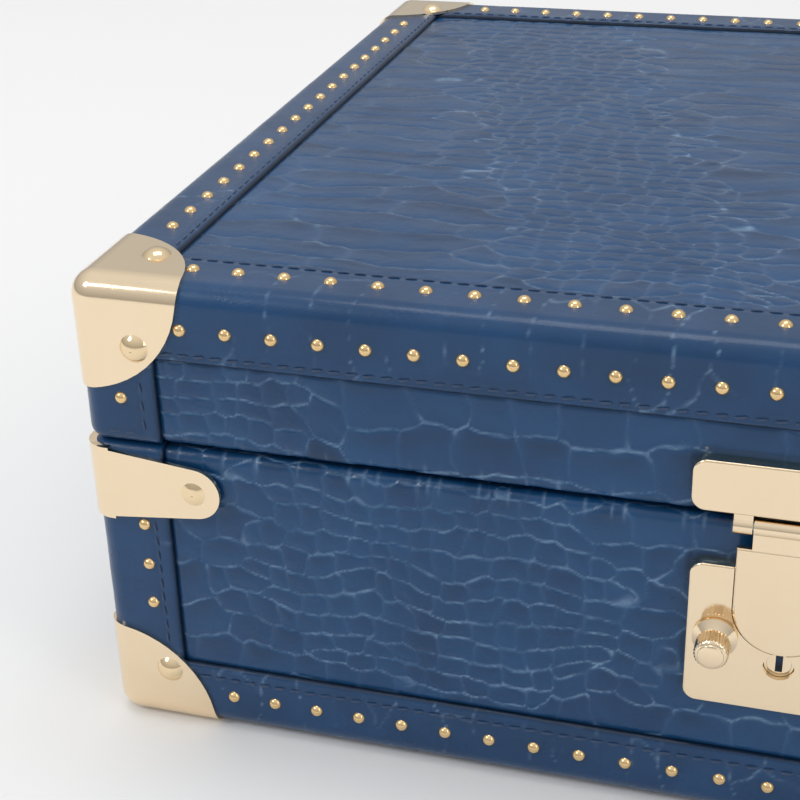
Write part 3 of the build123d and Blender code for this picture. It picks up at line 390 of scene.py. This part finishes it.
def scale_relief(columns, rows, step, size_at, seed, sizes=SCALE_SIZES, wander=1.3):
    """Per point: its place in the grid, its distance to the nearest crease, a number for its scale, how near
    its scale's middle it is, where it lies from its scale's low edge, -1, to its high one, 1, and how far its
    crease runs along the row."""
    chance = np.random.default_rng(seed)
    u, v = np.meshgrid(np.arange(columns) * step, np.arange(rows) * step)
    wu = (u + (soft_noise(u, v, 9, seed + 1) - 0.5) * 2.2 * wander
          + (soft_noise(u, v, 3.4, seed + 2) - 0.5) * wander)
    wv = (v + (soft_noise(u, v, 19, seed + 3) - 0.5) * 5.2 * wander
          + (soft_noise(u, v, 3.6, seed + 4) - 0.5) * wander)
    first = np.full(u.shape, 9.0)
    second = np.full(u.shape, 9.0)
    depth = np.full(u.shape, 4.0)
    cell, tilt, lying = np.zeros(u.shape), np.zeros(u.shape), np.zeros(u.shape)
    for cu, cv, a, b in seeds_for(u.max(), v.max(), size_at, chance, sizes):
        shade = chance.random()
        near_u, near_v = 2.1 * a + 4, 2.3 * b + 8
        j0, j1 = max(0, int((cu - near_u) / step)), min(columns, int((cu + near_u) / step) + 1)
        i0, i1 = max(0, int((cv - near_v) / step)), min(rows, int((cv + near_v) / step) + 1)
        if j0 >= j1 or i0 >= i1:
            continue
        window = np.s_[i0:i1, j0:j1]
        across = (np.abs(wu[window] - cu) / a) ** 2.8
        upward = (np.abs(wv[window] - cv) / b) ** 2.8
        reach = (across + upward) ** (1 / 2.8)
        closer = reach < first[window]
        second[window] = np.where(closer, first[window], np.minimum(second[window], reach))
        first[window] = np.where(closer, reach, first[window])
        depth[window] = np.where(closer, b, depth[window])
        cell[window] = np.where(closer, shade, cell[window])
        tilt[window] = np.where(closer, (wv[window] - cv) / b, tilt[window])
        lying[window] = np.where(closer, upward / (across + upward + 1e-9), lying[window])
    far = (second - first) * 0.5 * depth
    return u, v, far, cell, np.clip(1 - first, 0, 1), np.clip(tilt, -1.3, 1.3), lying


# ---------------------------------------------------------------- placing
def placed(side, along, inset, height):
    """Points of a side in world millimetres: along it, in from its outer face, and up."""
    along, inset, height = np.broadcast_arrays(along, inset, height)
    if side == "front":
        return np.stack([along, FRONT + inset, height], -1)
    if side == "back":
        return np.stack([along, BACK - inset, height], -1)
    if side == "left":
        return np.stack([LEFT + inset, along, height], -1)
    return np.stack([RIGHT - inset, along, height], -1)


def faced(side, outward, upward):
    """Directions of a side in the world, from its outward and upward shares."""
    outward, upward = np.broadcast_arrays(outward, upward)
    none = np.zeros_like(outward)
    if side == "front":
        return np.stack([none, -outward, upward], -1)
    if side == "back":
        return np.stack([none, outward, upward], -1)
    if side == "left":
        return np.stack([-outward, none, upward], -1)
    return np.stack([outward, none, upward], -1)


def ends_of(side):
    return (LEFT, RIGHT) if side in ("front", "back") else (FRONT, BACK)


def outward_flip(side, upward=1):
    """Whether a side's grid, in order along and then round its profile, faces inward."""
    return (side in ("back", "left")) == (upward > 0)


def section(straight_from, corner, radius, inward_to, upward, step):
    """A wall's profile: up its face, round its edge and in along its top. Gives inset, height and facing by
    length. The corner is the edge's outermost height, and upward is 1 for a top edge or -1 for a low one."""
    face = abs(corner - straight_from) - radius
    turn = radius * math.pi / 2
    deep = inward_to - radius
    length = face + turn + deep
    s = np.linspace(0, length, max(4, int(length / step) + 1))
    angle = np.clip((s - face) / radius, 0, math.pi / 2)
    inset = radius * (1 - np.cos(angle)) + np.clip(s - face - turn, 0, None)
    height = straight_from + upward * (np.clip(s, 0, face) + radius * np.sin(angle))
    return s, inset, height, np.cos(angle), upward * np.sin(angle), s[1] - s[0]


# ---------------------------------------------------- croc panels on the walls
lock_low, lock_high = box_mm("lock_plate")
lid_plate_high = box_mm("lid_plate")[1]
hinge_low, hinge_high = box_mm("base_hinge_leaves")
HINGE_WIDE = 38.0


def pressed_flat(side, along, height):
    """1 in the open and 0 under the lock's and hinges' plates, where the leather is pressed flat."""
    def clear_of(centre, half, low, high):
        off = np.maximum(np.abs(along - centre) - half, np.maximum(low - height, height - high))
        return smooth_step(off, -0.2, 2.0)

    if side == "front":
        half = lock_high[0]
        return clear_of(0.0, half, lock_low[2], lid_plate_high[2])
    if side == "back":
        middle = hinge_high[0] - HINGE_WIDE / 2
        spread = (hinge_low[2] - 1, lid_plate_high[2] + 6)
        half = HINGE_WIDE / 2
        return np.minimum(clear_of(middle, half, *spread), clear_of(-middle, half, *spread))
    return np.ones_like(along + height)


def finished_relief(pattern, seed, tall, high_edge):
    """Height above the flat leather and the values that its material reads. Scales are proud along their
    high edge, so creases along the rows are ledges, and those across them are faint lines. The line value
    marks creases to be painted lighter as a painted highlight, strongest along the rows, and the shade value
    marks painted shade that grows towards each scale's high edge, in patches."""
    u, v, far, cell, middle, tilt, lying = pattern
    strong = 0.30 + 0.70 * smooth_step(lying, 0.25, 0.75)
    strong = strong * (0.55 + 0.75 * soft_noise(u, v, 13, seed + 6))
    groove = np.exp(-((far / 0.33) ** 1.6)) * strong
    shoulder = 1 - np.exp(-((far / 1.05) ** 1.25))
    fine = soft_noise(u, v, 1.7, seed + 7) - 0.5 + 0.7 * (soft_noise(u, v, 0.9, seed + 8) - 0.5)
    wave = soft_noise(u, v, 15, seed + 9) - 0.5
    shingle = high_edge * np.sign(tilt) * np.abs(tilt) ** 1.6 * smooth_step(lying, 0.1, 0.6)
    height = tall * (0.34 * shoulder - 0.60 * groove) + 0.52 * tall * shingle + 0.30 * tall * middle
    height = height + 0.50 * tall + 0.060 * fine + 0.14 * wave
    # Painted highlight: how much lighter each crease is painted, strongest on the ledges along the rows.
    line = np.exp(-((far / 0.24) ** 2)) * strong * (0.35 + 0.65 * smooth_step(lying, 0.3, 0.8))
    # Painted shade: each scale is painted darker towards its proud high edge, broken into patches by a noise.
    patches = 0.4 + 0.6 * soft_noise(u, v, 8, seed + 5)
    shade = np.clip(0.5 + 0.5 * high_edge * tilt, 0, 1) ** 2 * shoulder * patches
    return np.clip(height, 0, None), {"line": line, "cell": cell, "shade": shade}


def fold_ticks(u, seed, closeness):
    """Short creases across a turned edge, where the leather was folded over it."""
    chance = np.random.default_rng(seed)
    depth = np.zeros(u.shape)
    at = 0.0
    while at < u.max():
        depth = depth + chance.uniform(0.3, 1.0) * np.exp(-(((u - at) / chance.uniform(0.28, 0.5)) ** 2))
        at += chance.uniform(2.5, 15.0)
    return np.clip(depth, 0, 1) * closeness


def wall_panel(name, side, start, edge, upward, size_at, seed, step, body, tall=0.50):
    """One embossed wall, from under its binding round the rim to the lining."""
    s, inset, height, outward, up, gap = section(start, edge, PANEL_RIM, RIM_DEPTH - BINDING, upward, step)
    first, last = ends_of(side)
    first, last = first + STRIP - LAP, last - STRIP + LAP
    columns = int((last - first) / step) + 1
    rows = len(s)
    along = np.linspace(first, last, columns)
    pattern = scale_relief(columns, rows, gap, lambda a, b: size_at(a + first, b), seed)
    rise, held = finished_relief(pattern, seed, tall, upward)
    bend = np.exp(-(((s - (s.max() - (RIM_DEPTH - BINDING) + 0.5)) / 2.2) ** 2))[:, None]
    tick = fold_ticks(pattern[0], seed + 14, bend)
    rise = rise - 0.16 * tick
    # Painted highlight: the fold creases are painted lighter too, through the line value.
    held["line"] = np.clip(held["line"] + 0.8 * tick, 0, 1)
    from_strip = np.minimum(along - first, last - along)[None, :] - LAP
    from_band = (s - LAP)[:, None]
    seam_near = np.minimum(from_strip, from_band)
    rise = rise * smooth_step(seam_near, -0.4, 1.6)
    rise = rise * smooth_step(s.max() - s, 6.0, 11.0)[:, None] + SKIN
    rise = rise * pressed_flat(side, along[None, :], height[:, None])
    held["seam"] = 0.85 * (1 - smooth_step(seam_near, 0.0, 0.75))
    points = placed(side, along[None, :], BINDING + inset[:, None], height[:, None])
    facing = faced(side, outward[:, None] + 0 * along[None, :], up[:, None] + 0 * along[None, :])
    points = points + facing * rise[..., None]
    faces = grid_faces(rows, columns, outward_flip(side, upward))
    return mesh_piece(name, points.reshape(-1, 3), faces, croc, body, held=held)


def spot(centre, half, level, level_half):
    """A region of small scales round a point of a wall."""
    def share(a, b):
        off = ((a - centre) / half) ** 2 + ((b - level) / level_half) ** 2
        return float(np.clip(1.15 - 0.75 * off, 0, 0.999))
    return share


def several(*shares):
    return lambda a, b: max(share(a, b) for share in shares)


base_front_sizes = several(spot(-86, 62, 38, 44), spot(112, 44, 30, 40))
lid_front_sizes = several(spot(-142, 34, 10, 30), spot(96, 60, 14, 30))
side_sizes = several(spot(-62, 46, 34, 46), spot(78, 40, 30, 46))
FINE, PLAIN = 0.42, 0.7
base_start, lid_start = BASE_LOW + FOOT_BAND - LAP, LID_TOP - BAND + LAP
rim_base, rim_lid = front_high[2], lid_front_low[2]
wall_sizes = {"front": (base_front_sizes, lid_front_sizes), "back": (side_sizes, side_sizes),
              "left": (side_sizes, side_sizes), "right": (side_sizes, side_sizes)}
for order, side in enumerate(SIDES):
    step = FINE if side == "front" else PLAIN
    low_sizes, high_sizes = wall_sizes[side]
    low = wall_panel(f"base_{side}_croc", side, base_start, rim_base, 1,
                     low_sizes, 20 + order * 40, step, "base")
    high = wall_panel(f"lid_{side}_croc", side, lid_start, rim_lid, -1,
                      high_sizes, 33 + order * 40, step, "lid")
    for made, whose in ((low, "base"), (high, "lid")):
        if side in ("front", "back"):
            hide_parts(f"{whose}_{side}_leather")
        else:
            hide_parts(f"{whose}_end_leathers")


def top_panel():
    """The embossed lid top, inside its binding."""
    step = 0.52
    first_x, last_x = LEFT + BAND - LAP, RIGHT - BAND + LAP
    first_y, last_y = FRONT + BAND - LAP, BACK - BAND + LAP
    columns, rows = int((last_x - first_x) / step) + 1, int((last_y - first_y) / step) + 1
    x, y = np.linspace(first_x, last_x, columns), np.linspace(first_y, last_y, rows)

    def size_at(a, b):
        across, deep = a + first_x, b + first_y
        middle = -58 - 0.33 * (deep + 60)
        return max(float(np.clip(1.12 - ((across - middle) / 46) ** 2, 0, 0.999)),
                   float(np.clip(1.05 - ((across - 118 - 0.2 * deep) / 40) ** 2, 0, 0.999)))

    pattern = scale_relief(columns, rows, step, size_at, 211, ((34.0, 10.5), (14.0, 8.4), (7.6, 6.0)))
    rise, held = finished_relief(pattern, 211, 0.42, 1)
    near_x = np.minimum(x - first_x, last_x - x)[None, :]
    near_y = np.minimum(y - first_y, last_y - y)[:, None]
    near = np.minimum(near_x, near_y) - LAP
    rise = rise * smooth_step(near, -0.4, 1.6) + SKIN
    held["seam"] = 0.85 * (1 - smooth_step(near, 0.0, 0.75))
    points = np.stack([np.broadcast_to(x[None, :], rise.shape), np.broadcast_to(y[:, None], rise.shape),
                       top_high[2] + rise], -1)
    made = mesh_piece("lid_top_croc", points.reshape(-1, 3), grid_faces(rows, columns), croc, "lid",
                      held=held)
    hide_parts("lid_top_leather")


top_panel()


# ------------------------------------------------------- bindings and strips
STITCH_REACH = 1.7
BAND_SIZES = ((13.0, 46.0), (9.0, 30.0))
STRIP_SIZES = ((30.0, 12.0), (24.0, 9.0))


def bound_relief(u, v, far, cell, seed, lines):
    """Smooth leather strip: sparse creases, rounded edges and a dip along each stitch line."""
    near = np.minimum(np.minimum(u, u.max() - u), np.minimum(v, v.max() - v))
    fold = np.exp(-((far / 0.34) ** 1.5)) * smooth_step(soft_noise(u, v, 13, seed + 11), 0.35, 0.75)
    wave = soft_noise(u, v, 12, seed + 12) - 0.5
    fine = soft_noise(u, v, 2.2, seed + 13) - 0.5
    rise = 0.10 + 0.10 * wave + 0.04 * fine - 0.13 * fold
    edge = np.clip(near / 1.1, 0, 1)
    rise = rise - 0.62 * (1 - np.sqrt(np.clip(1 - (1 - edge) ** 2, 0, 1)))
    for off in lines:
        rise = rise - 0.20 * np.exp(-(((v - off) / 0.75) ** 2))
        rise = rise + 0.05 * np.exp(-(((np.abs(v - off) - 1.6) / 0.8) ** 2))
    seam = 0.75 * (1 - smooth_step(near, 0.0, 0.5))
    # Painted highlight: the sparse creases are painted lighter through the line value. The shade value here
    # is a plain noise darkening.
    return rise, {"line": fold * 0.75, "cell": cell * 0.7, "shade": 0.35 * (0.5 + wave), "seam": seam}


def band(name, side, start, edge, upward, width_in, stitch_at, seed, step, body):
    """One edge binding: its wall flange, the rounded edge and its flat flange."""
    s, inset, height, outward, up, gap = section(start, edge, EDGE, width_in, upward, step)
    first, last = ends_of(side)
    first, last = first + EDGE, last - EDGE
    columns, rows = int((last - first) / step) + 1, len(s)
    along = np.linspace(first, last, columns)
    pattern = scale_relief(columns, rows, gap, lambda a, b: 0.6 if (a // 37) % 2 else 0.2,
                           seed, BAND_SIZES, 1.5)
    rise, held = bound_relief(*pattern[:4], seed, stitch_at)
    points = placed(side, along[None, :], inset[:, None], height[:, None])
    facing = faced(side, outward[:, None] + 0 * along[None, :], up[:, None] + 0 * along[None, :])
    points, held = skirted(points + facing * rise[..., None], facing, 1.3, held)
    faces = grid_faces(rows + 2, columns + 2, outward_flip(side, upward))
    return mesh_piece(name, points.reshape(-1, 3), faces, bound, body, held=held)


WALL_AND_EDGE = EDGE * math.pi / 2 + BAND - EDGE
for order, side in enumerate(SIDES):
    step = 0.75 if side == "front" else 1.0
    made = band(f"lid_{side}_binding", side, LID_TOP - BAND, LID_TOP, 1, BAND,
                (BAND - STITCH_SIDE, WALL_AND_EDGE + (BAND - EDGE) - (BAND - STITCH_TOP)),
                300 + order * 20, step, "lid")
    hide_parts("lid_binding")
    made = band(f"base_{side}_binding", side, BASE_LOW + FOOT_BAND, BASE_LOW, -1, BAND,
                (STITCH_FOOT,), 400 + order * 20, step, "base")
    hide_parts("base_bottom_binding")


def corner_strip(name, corner, start, edge, upward, seed, body):
    """The leather strip wrapped round one upright corner, from its binding over the rim."""
    step = 0.8
    s, inset, height, outward, up, gap = section(start, edge, RIM, RIM_DEPTH, upward, step)
    arc = EDGE * math.pi / 2
    flat = STRIP - EDGE
    length = 2 * flat + arc
    columns, rows = int(length / step) + 1, len(s)
    w = np.linspace(0, length, columns)
    turn = np.clip((w - flat) / EDGE, 0, math.pi / 2)
    before = np.clip(flat - w, 0, None)
    after = np.clip(w - flat - arc, 0, None)
    radius = np.clip(EDGE - inset, 0, None)[:, None]
    extra = np.clip(inset - EDGE, 0, None)[:, None]
    near_x = EDGE + extra - radius * np.sin(turn)[None, :] + np.clip(before[None, :] - extra, 0, None)
    near_y = EDGE + extra - radius * np.cos(turn)[None, :] + np.clip(after[None, :] - extra, 0, None)
    side_x, side_y = corner
    x = (LEFT + near_x) if side_x < 0 else (RIGHT - near_x)
    y = (FRONT + near_y) if side_y < 0 else (BACK - near_y)
    points = np.stack([x, y, height[:, None] + 0 * x], -1)
    facing = np.stack([side_x * outward[:, None] * np.sin(turn)[None, :],
                       side_y * outward[:, None] * np.cos(turn)[None, :], up[:, None] + 0 * x], -1)
    pattern = scale_relief(columns, rows, gap, lambda a, b: 0.4, seed, STRIP_SIZES, 1.4)
    u, v = pattern[:2]
    rise, held = bound_relief(*pattern[:4], seed, ())
    edge_off = STRIP - STITCH_STRIP
    for line in (edge_off, length - edge_off):
        rise = rise - 0.20 * np.exp(-(((u - line) / 0.75) ** 2)) * smooth_step(s.max() - v, 10, 13)
    points, held = skirted(points + facing * rise[..., None], facing, 1.3, held)
    flip = (side_x * side_y * upward) > 0
    faces = grid_faces(rows + 2, columns + 2, not flip)
    return mesh_piece(name, points.reshape(-1, 3), faces, bound, body, held=held)


CORNERS = {"front_left": (-1, -1), "front_right": (1, -1), "back_left": (-1, 1), "back_right": (1, 1)}
for order, (where, corner) in enumerate(CORNERS.items()):
    made = corner_strip(f"lid_{where}_strip", corner, lid_strip_high[2], LID_LOW, -1,
                        500 + order * 20, "lid")
    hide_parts("lid_corner_strips")
    made = corner_strip(f"base_{where}_strip", corner, base_strip_low[2], BASE_TOP, 1,
                        600 + order * 20, "base")
    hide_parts("base_corner_strips")


# ---------------------------------------------------------------- stitches
def stitch_template():
    """One raised stitch: a plump twisted thread that dives into the leather at both ends."""
    rings, around = 9, 8
    t = np.linspace(-1, 1, rings)
    angle = np.linspace(0, 2 * math.pi, around, endpoint=False)
    radius = 0.36 * np.clip(1 - t ** 4, 0.05, 1) ** 0.6
    across = radius[:, None] * np.cos(angle)[None, :] + 0.05 * np.sin(t * 4)[:, None]
    up = radius[:, None] * np.sin(angle)[None, :] * 0.9 + (0.10 - 0.34 * t ** 4)[:, None]
    points = np.stack([np.repeat(t * STITCH_REACH, around), across.ravel(), up.ravel()], -1)
    index = np.arange(rings * around).reshape(rings, around)
    after = np.roll(index, -1, axis=1)
    faces = np.stack([index[:-1], index[1:], after[1:], after[:-1]], -1).reshape(-1, 4)
    return points, faces


TEMPLATE = stitch_template()


def stitch_rows(name, rows, body, seed):
    """All stitches of one part, along straight rows given as start, end and facing."""
    chance = np.random.default_rng(seed)
    points, faces, count = [], [], 0
    for start, end, facing in rows:
        start, end, facing = (np.array(x, float) for x in (start, end, facing))
        along = end - start
        length = np.linalg.norm(along)
        along = along / length
        across = np.cross(facing, along)
        number = max(1, int(length / 4.3))
        for k in range(number):
            lean = 0.07 + chance.normal(0, 0.025)
            centre = start + along * ((k + 0.5) * length / number) + across * chance.normal(0, 0.04)
            a = along * math.cos(lean) + across * math.sin(lean)
            b = across * math.cos(lean) - along * math.sin(lean)
            basis = np.stack([a, b, facing])
            points.append(TEMPLATE[0] @ basis + centre)
            faces.append(TEMPLATE[1] + count * len(TEMPLATE[0]))
            count += 1
    return mesh_piece(name, np.concatenate(points), np.concatenate(faces), sewing, body)


def side_row(side, inset, height, low_end, high_end, upward):
    """A stitch row along a side: on its top if upward, or else on its wall."""
    first, last = ends_of(side)
    start = placed(side, first + low_end, inset, height)
    end = placed(side, last - high_end, inset, height)
    return start, end, faced(side, 0.0 if upward else 1.0, 1.0 if upward else 0.0)


CAP_CLEAR = 23.0
lid_rows = []
base_rows = []
for side in SIDES:
    lid_rows.append(side_row(side, STITCH_TOP, LID_TOP + 0.02, CAP_CLEAR + 2, CAP_CLEAR + 2, True))
    lid_rows.append(side_row(side, -0.02, LID_TOP - STITCH_SIDE, CAP_CLEAR, CAP_CLEAR, False))
    base_rows.append(side_row(side, -0.02, BASE_LOW + FOOT_BAND - STITCH_FOOT,
                              CAP_CLEAR + 2, CAP_CLEAR + 2, False))
for side_x, side_y in CORNERS.values():
    x_edge = LEFT if side_x < 0 else RIGHT
    y_edge = FRONT if side_y < 0 else BACK
    for low, high, rows in ((LID_LOW + 3.5, LID_TOP - BAND - 0.5, lid_rows),
                            (BASE_LOW + FOOT_BAND + 1.0, BASE_TOP - 4.0, base_rows)):
        x, y = x_edge - side_x * STITCH_STRIP, y_edge - side_y * STITCH_STRIP
        rows.append(((x, y_edge, low), (x, y_edge, high), (0, side_y, 0)))
        rows.append(((x_edge, y, low), (x_edge, y, high), (side_x, 0, 0)))
    low = LID_LOW + 3.4
    near_x, far_x = x_edge - side_x * 6.5, x_edge - side_x * 15.5
    near_y, far_y = y_edge - side_y * 6.5, y_edge - side_y * 15.5
    lid_rows.append(((near_x, y_edge, low), (far_x, y_edge, low), (0, side_y, 0)))
    lid_rows.append(((x_edge, near_y, low), (x_edge, far_y, low), (side_x, 0, 0)))
stitch_rows("lid_stitches", lid_rows, "lid", 71)
stitch_rows("base_stitches", base_rows, "base", 72)


# ---------------------------------------------------------------- knurled knob
def knurled_knob():
    """The release knob: a coned collar, a stem, and a knurled barrel with a bevelled flat end."""
    low, high = box_mm("release_knob")
    centre_x, centre_z = (low[0] + high[0]) / 2, (low[2] + high[2]) / 2
    tip = low[1]
    collar = (high[0] - low[0]) / 2
    plate = lock_low[1]
    barrel, long = 4.15, plate - 0.15 - tip
    profile = [(0.0, 0.0), (2.9, 0.0), (3.05, 0.12), (3.1, 0.30), (3.55, 0.42), (barrel - 0.12, 0.95)]
    knurl_from = len(profile)
    for y in np.linspace(1.1, 5.4, 9):
        profile.append((barrel, y))
    knurl_to = len(profile)
    profile += [(barrel - 0.15, 5.55), (3.3, 5.75), (3.2, 6.1), (3.45, 6.35), (collar - 0.5, long - 1.15),
                (collar, long - 0.8), (collar, long - 0.15), (collar - 0.2, long), (0.0, long)]
    around = 168
    angle = np.linspace(0, 2 * math.pi, around, endpoint=False)
    tooth = np.abs(((angle * 28 / (2 * math.pi)) % 1) - 0.5) * 2
    points = []
    for k, (radius, back) in enumerate(profile):
        cut = 0.0
        if knurl_from <= k < knurl_to:
            cut = 0.34 * tooth ** 1.3
        elif k in (knurl_from - 1, knurl_to):
            cut = 0.10 * tooth
        r = radius - cut
        points.append(np.stack([centre_x + r * np.cos(angle), np.full(around, tip + back),
                                centre_z + r * np.sin(angle)], -1))
    points = np.concatenate(points)
    index = np.arange(len(profile) * around).reshape(len(profile), around)
    after = np.roll(index, -1, axis=1)
    faces = np.stack([index[:-1], after[:-1], after[1:], index[1:]], -1).reshape(-1, 4)
    made = mesh_piece("release_knob_knurled", points, faces[:, ::-1], gold, "latch")
    made.modifiers.new("edges", "EDGE_SPLIT").split_angle = math.radians(42)
    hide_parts("release_knob")


knurled_knob()


# ---------------------------------------------------------------- soft inside
def closed_pad(name, low, high, crown, round_off, body, seed, step, upward):
    """A closed padded form: flat on one side, crowned on the other, pulled in between its corners."""
    wide, deep = high[0] - low[0], high[1] - low[1]
    columns, rows = int(wide / step) + 1, int(deep / step) + 1
    x, y = np.meshgrid(np.linspace(0, wide, columns), np.linspace(0, deep, rows))
    pull = 0.9 * (1 - (2 * x / wide - 1) ** 4) * 0.6
    near = np.minimum(np.minimum(x, wide - x), np.minimum(y, deep - y))
    full = 1 - (1 - np.clip(near / round_off, 0, 1)) ** 2.4
    thick = (high[2] - low[2]) - crown + crown * full
    thick = thick - 0.06 * crown + 0.10 * crown * (soft_noise(x, y, 21, seed) - 0.5)
    thick = np.minimum(thick, high[2] - low[2])
    inward = np.exp(-near / 4.0)
    px = low[0] + x + pull * inward * np.sign(wide / 2 - x) * (np.abs(x - wide / 2) > wide / 2 - 6)
    py = low[1] + y + pull * inward * np.sign(deep / 2 - y) * (np.abs(y - deep / 2) > deep / 2 - 6)
    if upward > 0:
        base, face = np.full(x.shape, low[2]), low[2] + thick
    else:
        base, face = np.full(x.shape, high[2]), high[2] - thick
    face_points = np.stack([px, py, face], -1).reshape(-1, 3)
    base_points = np.stack([px, py, base], -1).reshape(-1, 3)
    count = rows * columns
    index = np.arange(count).reshape(rows, columns)
    quads = grid_faces(rows, columns, upward < 0)
    under = grid_faces(rows, columns, upward > 0) + count
    ring = np.concatenate([index[0, :], index[1:, -1], index[-1, -2::-1], index[-2:0:-1, 0]])
    after = np.roll(ring, -1)
    wall = np.stack([ring, ring + count, after + count, after], -1)
    if upward < 0:
        wall = wall[:, ::-1]
    points = np.concatenate([face_points, base_points])
    return mesh_piece(name, points, np.concatenate([quads, under, wall]), lining, body)


pad_low, pad_high = box_mm("lid_pad")
lid_cushion = closed_pad("lid_padding", pad_low, pad_high, 3.2, 12.0, "lid", 81, step=2.2, upward=-1)
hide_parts("lid_pad")

floor_pad_low, floor_pad_high = box_mm("base_floor_pad")
floor_cushion = closed_pad("floor_padding", floor_pad_low, floor_pad_high, 0.8, 8.0, "base", 83,
                           step=2.6, upward=1)
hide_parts("base_floor_pad")


def ring_rolls():
    """Seven padded rolls side by side, with flattened undersides and stuffed, slightly creased skins."""
    low, high = box_mm("ring_rolls")
    count, radius = 7, (high[2] - low[2]) / 2
    pitch = (high[1] - low[1] - 2 * radius) / (count - 1)
    around, rings = 28, 96
    t = np.linspace(0, 1, rings)
    length = high[0] - low[0]
    points, faces = [], []
    for k in range(count):
        centre_y, centre_z = low[1] + radius + k * pitch, low[2] + radius
        angle = np.linspace(0, 2 * math.pi, around, endpoint=False)
        a, along = np.meshgrid(angle, t * length)
        end = np.clip(np.minimum(along, length - along) / 4.5, 0, 1)
        swell = np.sqrt(np.clip(1 - (1 - end) ** 2, 0.002, 1))
        crease = soft_noise(along, a * 3, 7, 90 + k) - 0.5
        r = radius * 0.97 * swell + 0.18 * crease * end - 0.05
        y = centre_y + np.cos(a) * r
        z = np.maximum(centre_z + np.sin(a) * r, low[2] + 0.02)
        points.append(np.stack([low[0] + along, y, z], -1).reshape(-1, 3))
        index = np.arange(rings * around).reshape(rings, around) + k * rings * around
        after = np.roll(index, -1, axis=1)
        faces.append(np.stack([index[:-1], after[:-1], after[1:], index[1:]], -1).reshape(-1, 4)[:, ::-1])
    made = mesh_piece("ring_roll_cushions", np.concatenate(points), np.concatenate(faces), lining, "tray")
    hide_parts("ring_rolls")


ring_rolls()

# ---------------------------------------------------------------- studio
bpy.ops.mesh.primitive_circle_add(vertices=96, radius=7.0, fill_type="NGON", location=(0, 0, -0.00002))
floor = bpy.context.object
floor.name = "studio_floor"
floor.data.materials.append(paint)

world = bpy.data.worlds.new("studio")
bpy.context.scene.world = world
world.use_nodes = True
tree = world.node_tree
back_light = tree.nodes["Background"]
where = tree.nodes.new("ShaderNodeTexCoord")
apart = tree.nodes.new("ShaderNodeSeparateXYZ")
tree.links.new(where.outputs["Generated"], apart.inputs["Vector"])
rising = tree.nodes.new("ShaderNodeMapRange")
for key, value in (("From Min", 0.0), ("From Max", 0.85), ("To Min", 0.42), ("To Max", 0.84)):
    rising.inputs[key].default_value = value
tree.links.new(apart.outputs["Z"], rising.inputs["Value"])
tree.links.new(rising.outputs["Result"], back_light.inputs["Strength"])
back_light.inputs["Color"].default_value = (1.0, 1.0, 1.0, 1.0)


def soft_light(name, place, target, size, power):
    data = bpy.data.lights.new(name, "AREA")
    data.shape = "RECTANGLE"
    data.size, data.size_y = size
    data.energy = power
    lamp = bpy.data.objects.new(name, data)
    lamp.location = place
    lamp.rotation_euler = (Vector(target) - Vector(place)).to_track_quat("-Z", "Y").to_euler()
    bpy.context.scene.collection.objects.link(lamp)


soft_light("overhead_softbox", (-0.1, 0.15, 2.3), (0, 0, 0.06), (1.5, 0.8), 13.0)
soft_light("key_softbox", (-1.5, -1.3, 1.7), (0, 0, 0.06), (0.6, 0.6), 10.5)
soft_light("side_softbox", (1.3, -0.9, 0.8), (0, 0, 0.06), (0.35, 1.0), 2.5)

camera_data = bpy.data.cameras.new("camera")
camera = bpy.data.objects.new("camera", camera_data)
bpy.context.scene.collection.objects.link(camera)
bpy.context.scene.camera = camera
camera_data.sensor_width = 36.0
camera_data.lens = 73.46
camera_data.clip_start, camera_data.clip_end = 0.02, 40
rightward = Vector((0.95670, 0.28968, -0.02850))
upward = Vector((-0.10862, 0.44614, 0.88835))
backward = Vector((0.27005, -0.84679, 0.45828))
turned = Matrix((rightward, upward, backward)).transposed().to_4x4()
corner = Vector((LEFT, FRONT - 0.9, LID_TOP + 0.9)) / 1000
camera.matrix_world = Matrix.Translation(corner + Vector((0.1896, -0.3268, 0.15315))) @ turned

bpy.context.scene.view_settings.view_transform = "Standard"
bpy.context.scene.view_settings.look = "None"

bpy.context.view_layer.update()
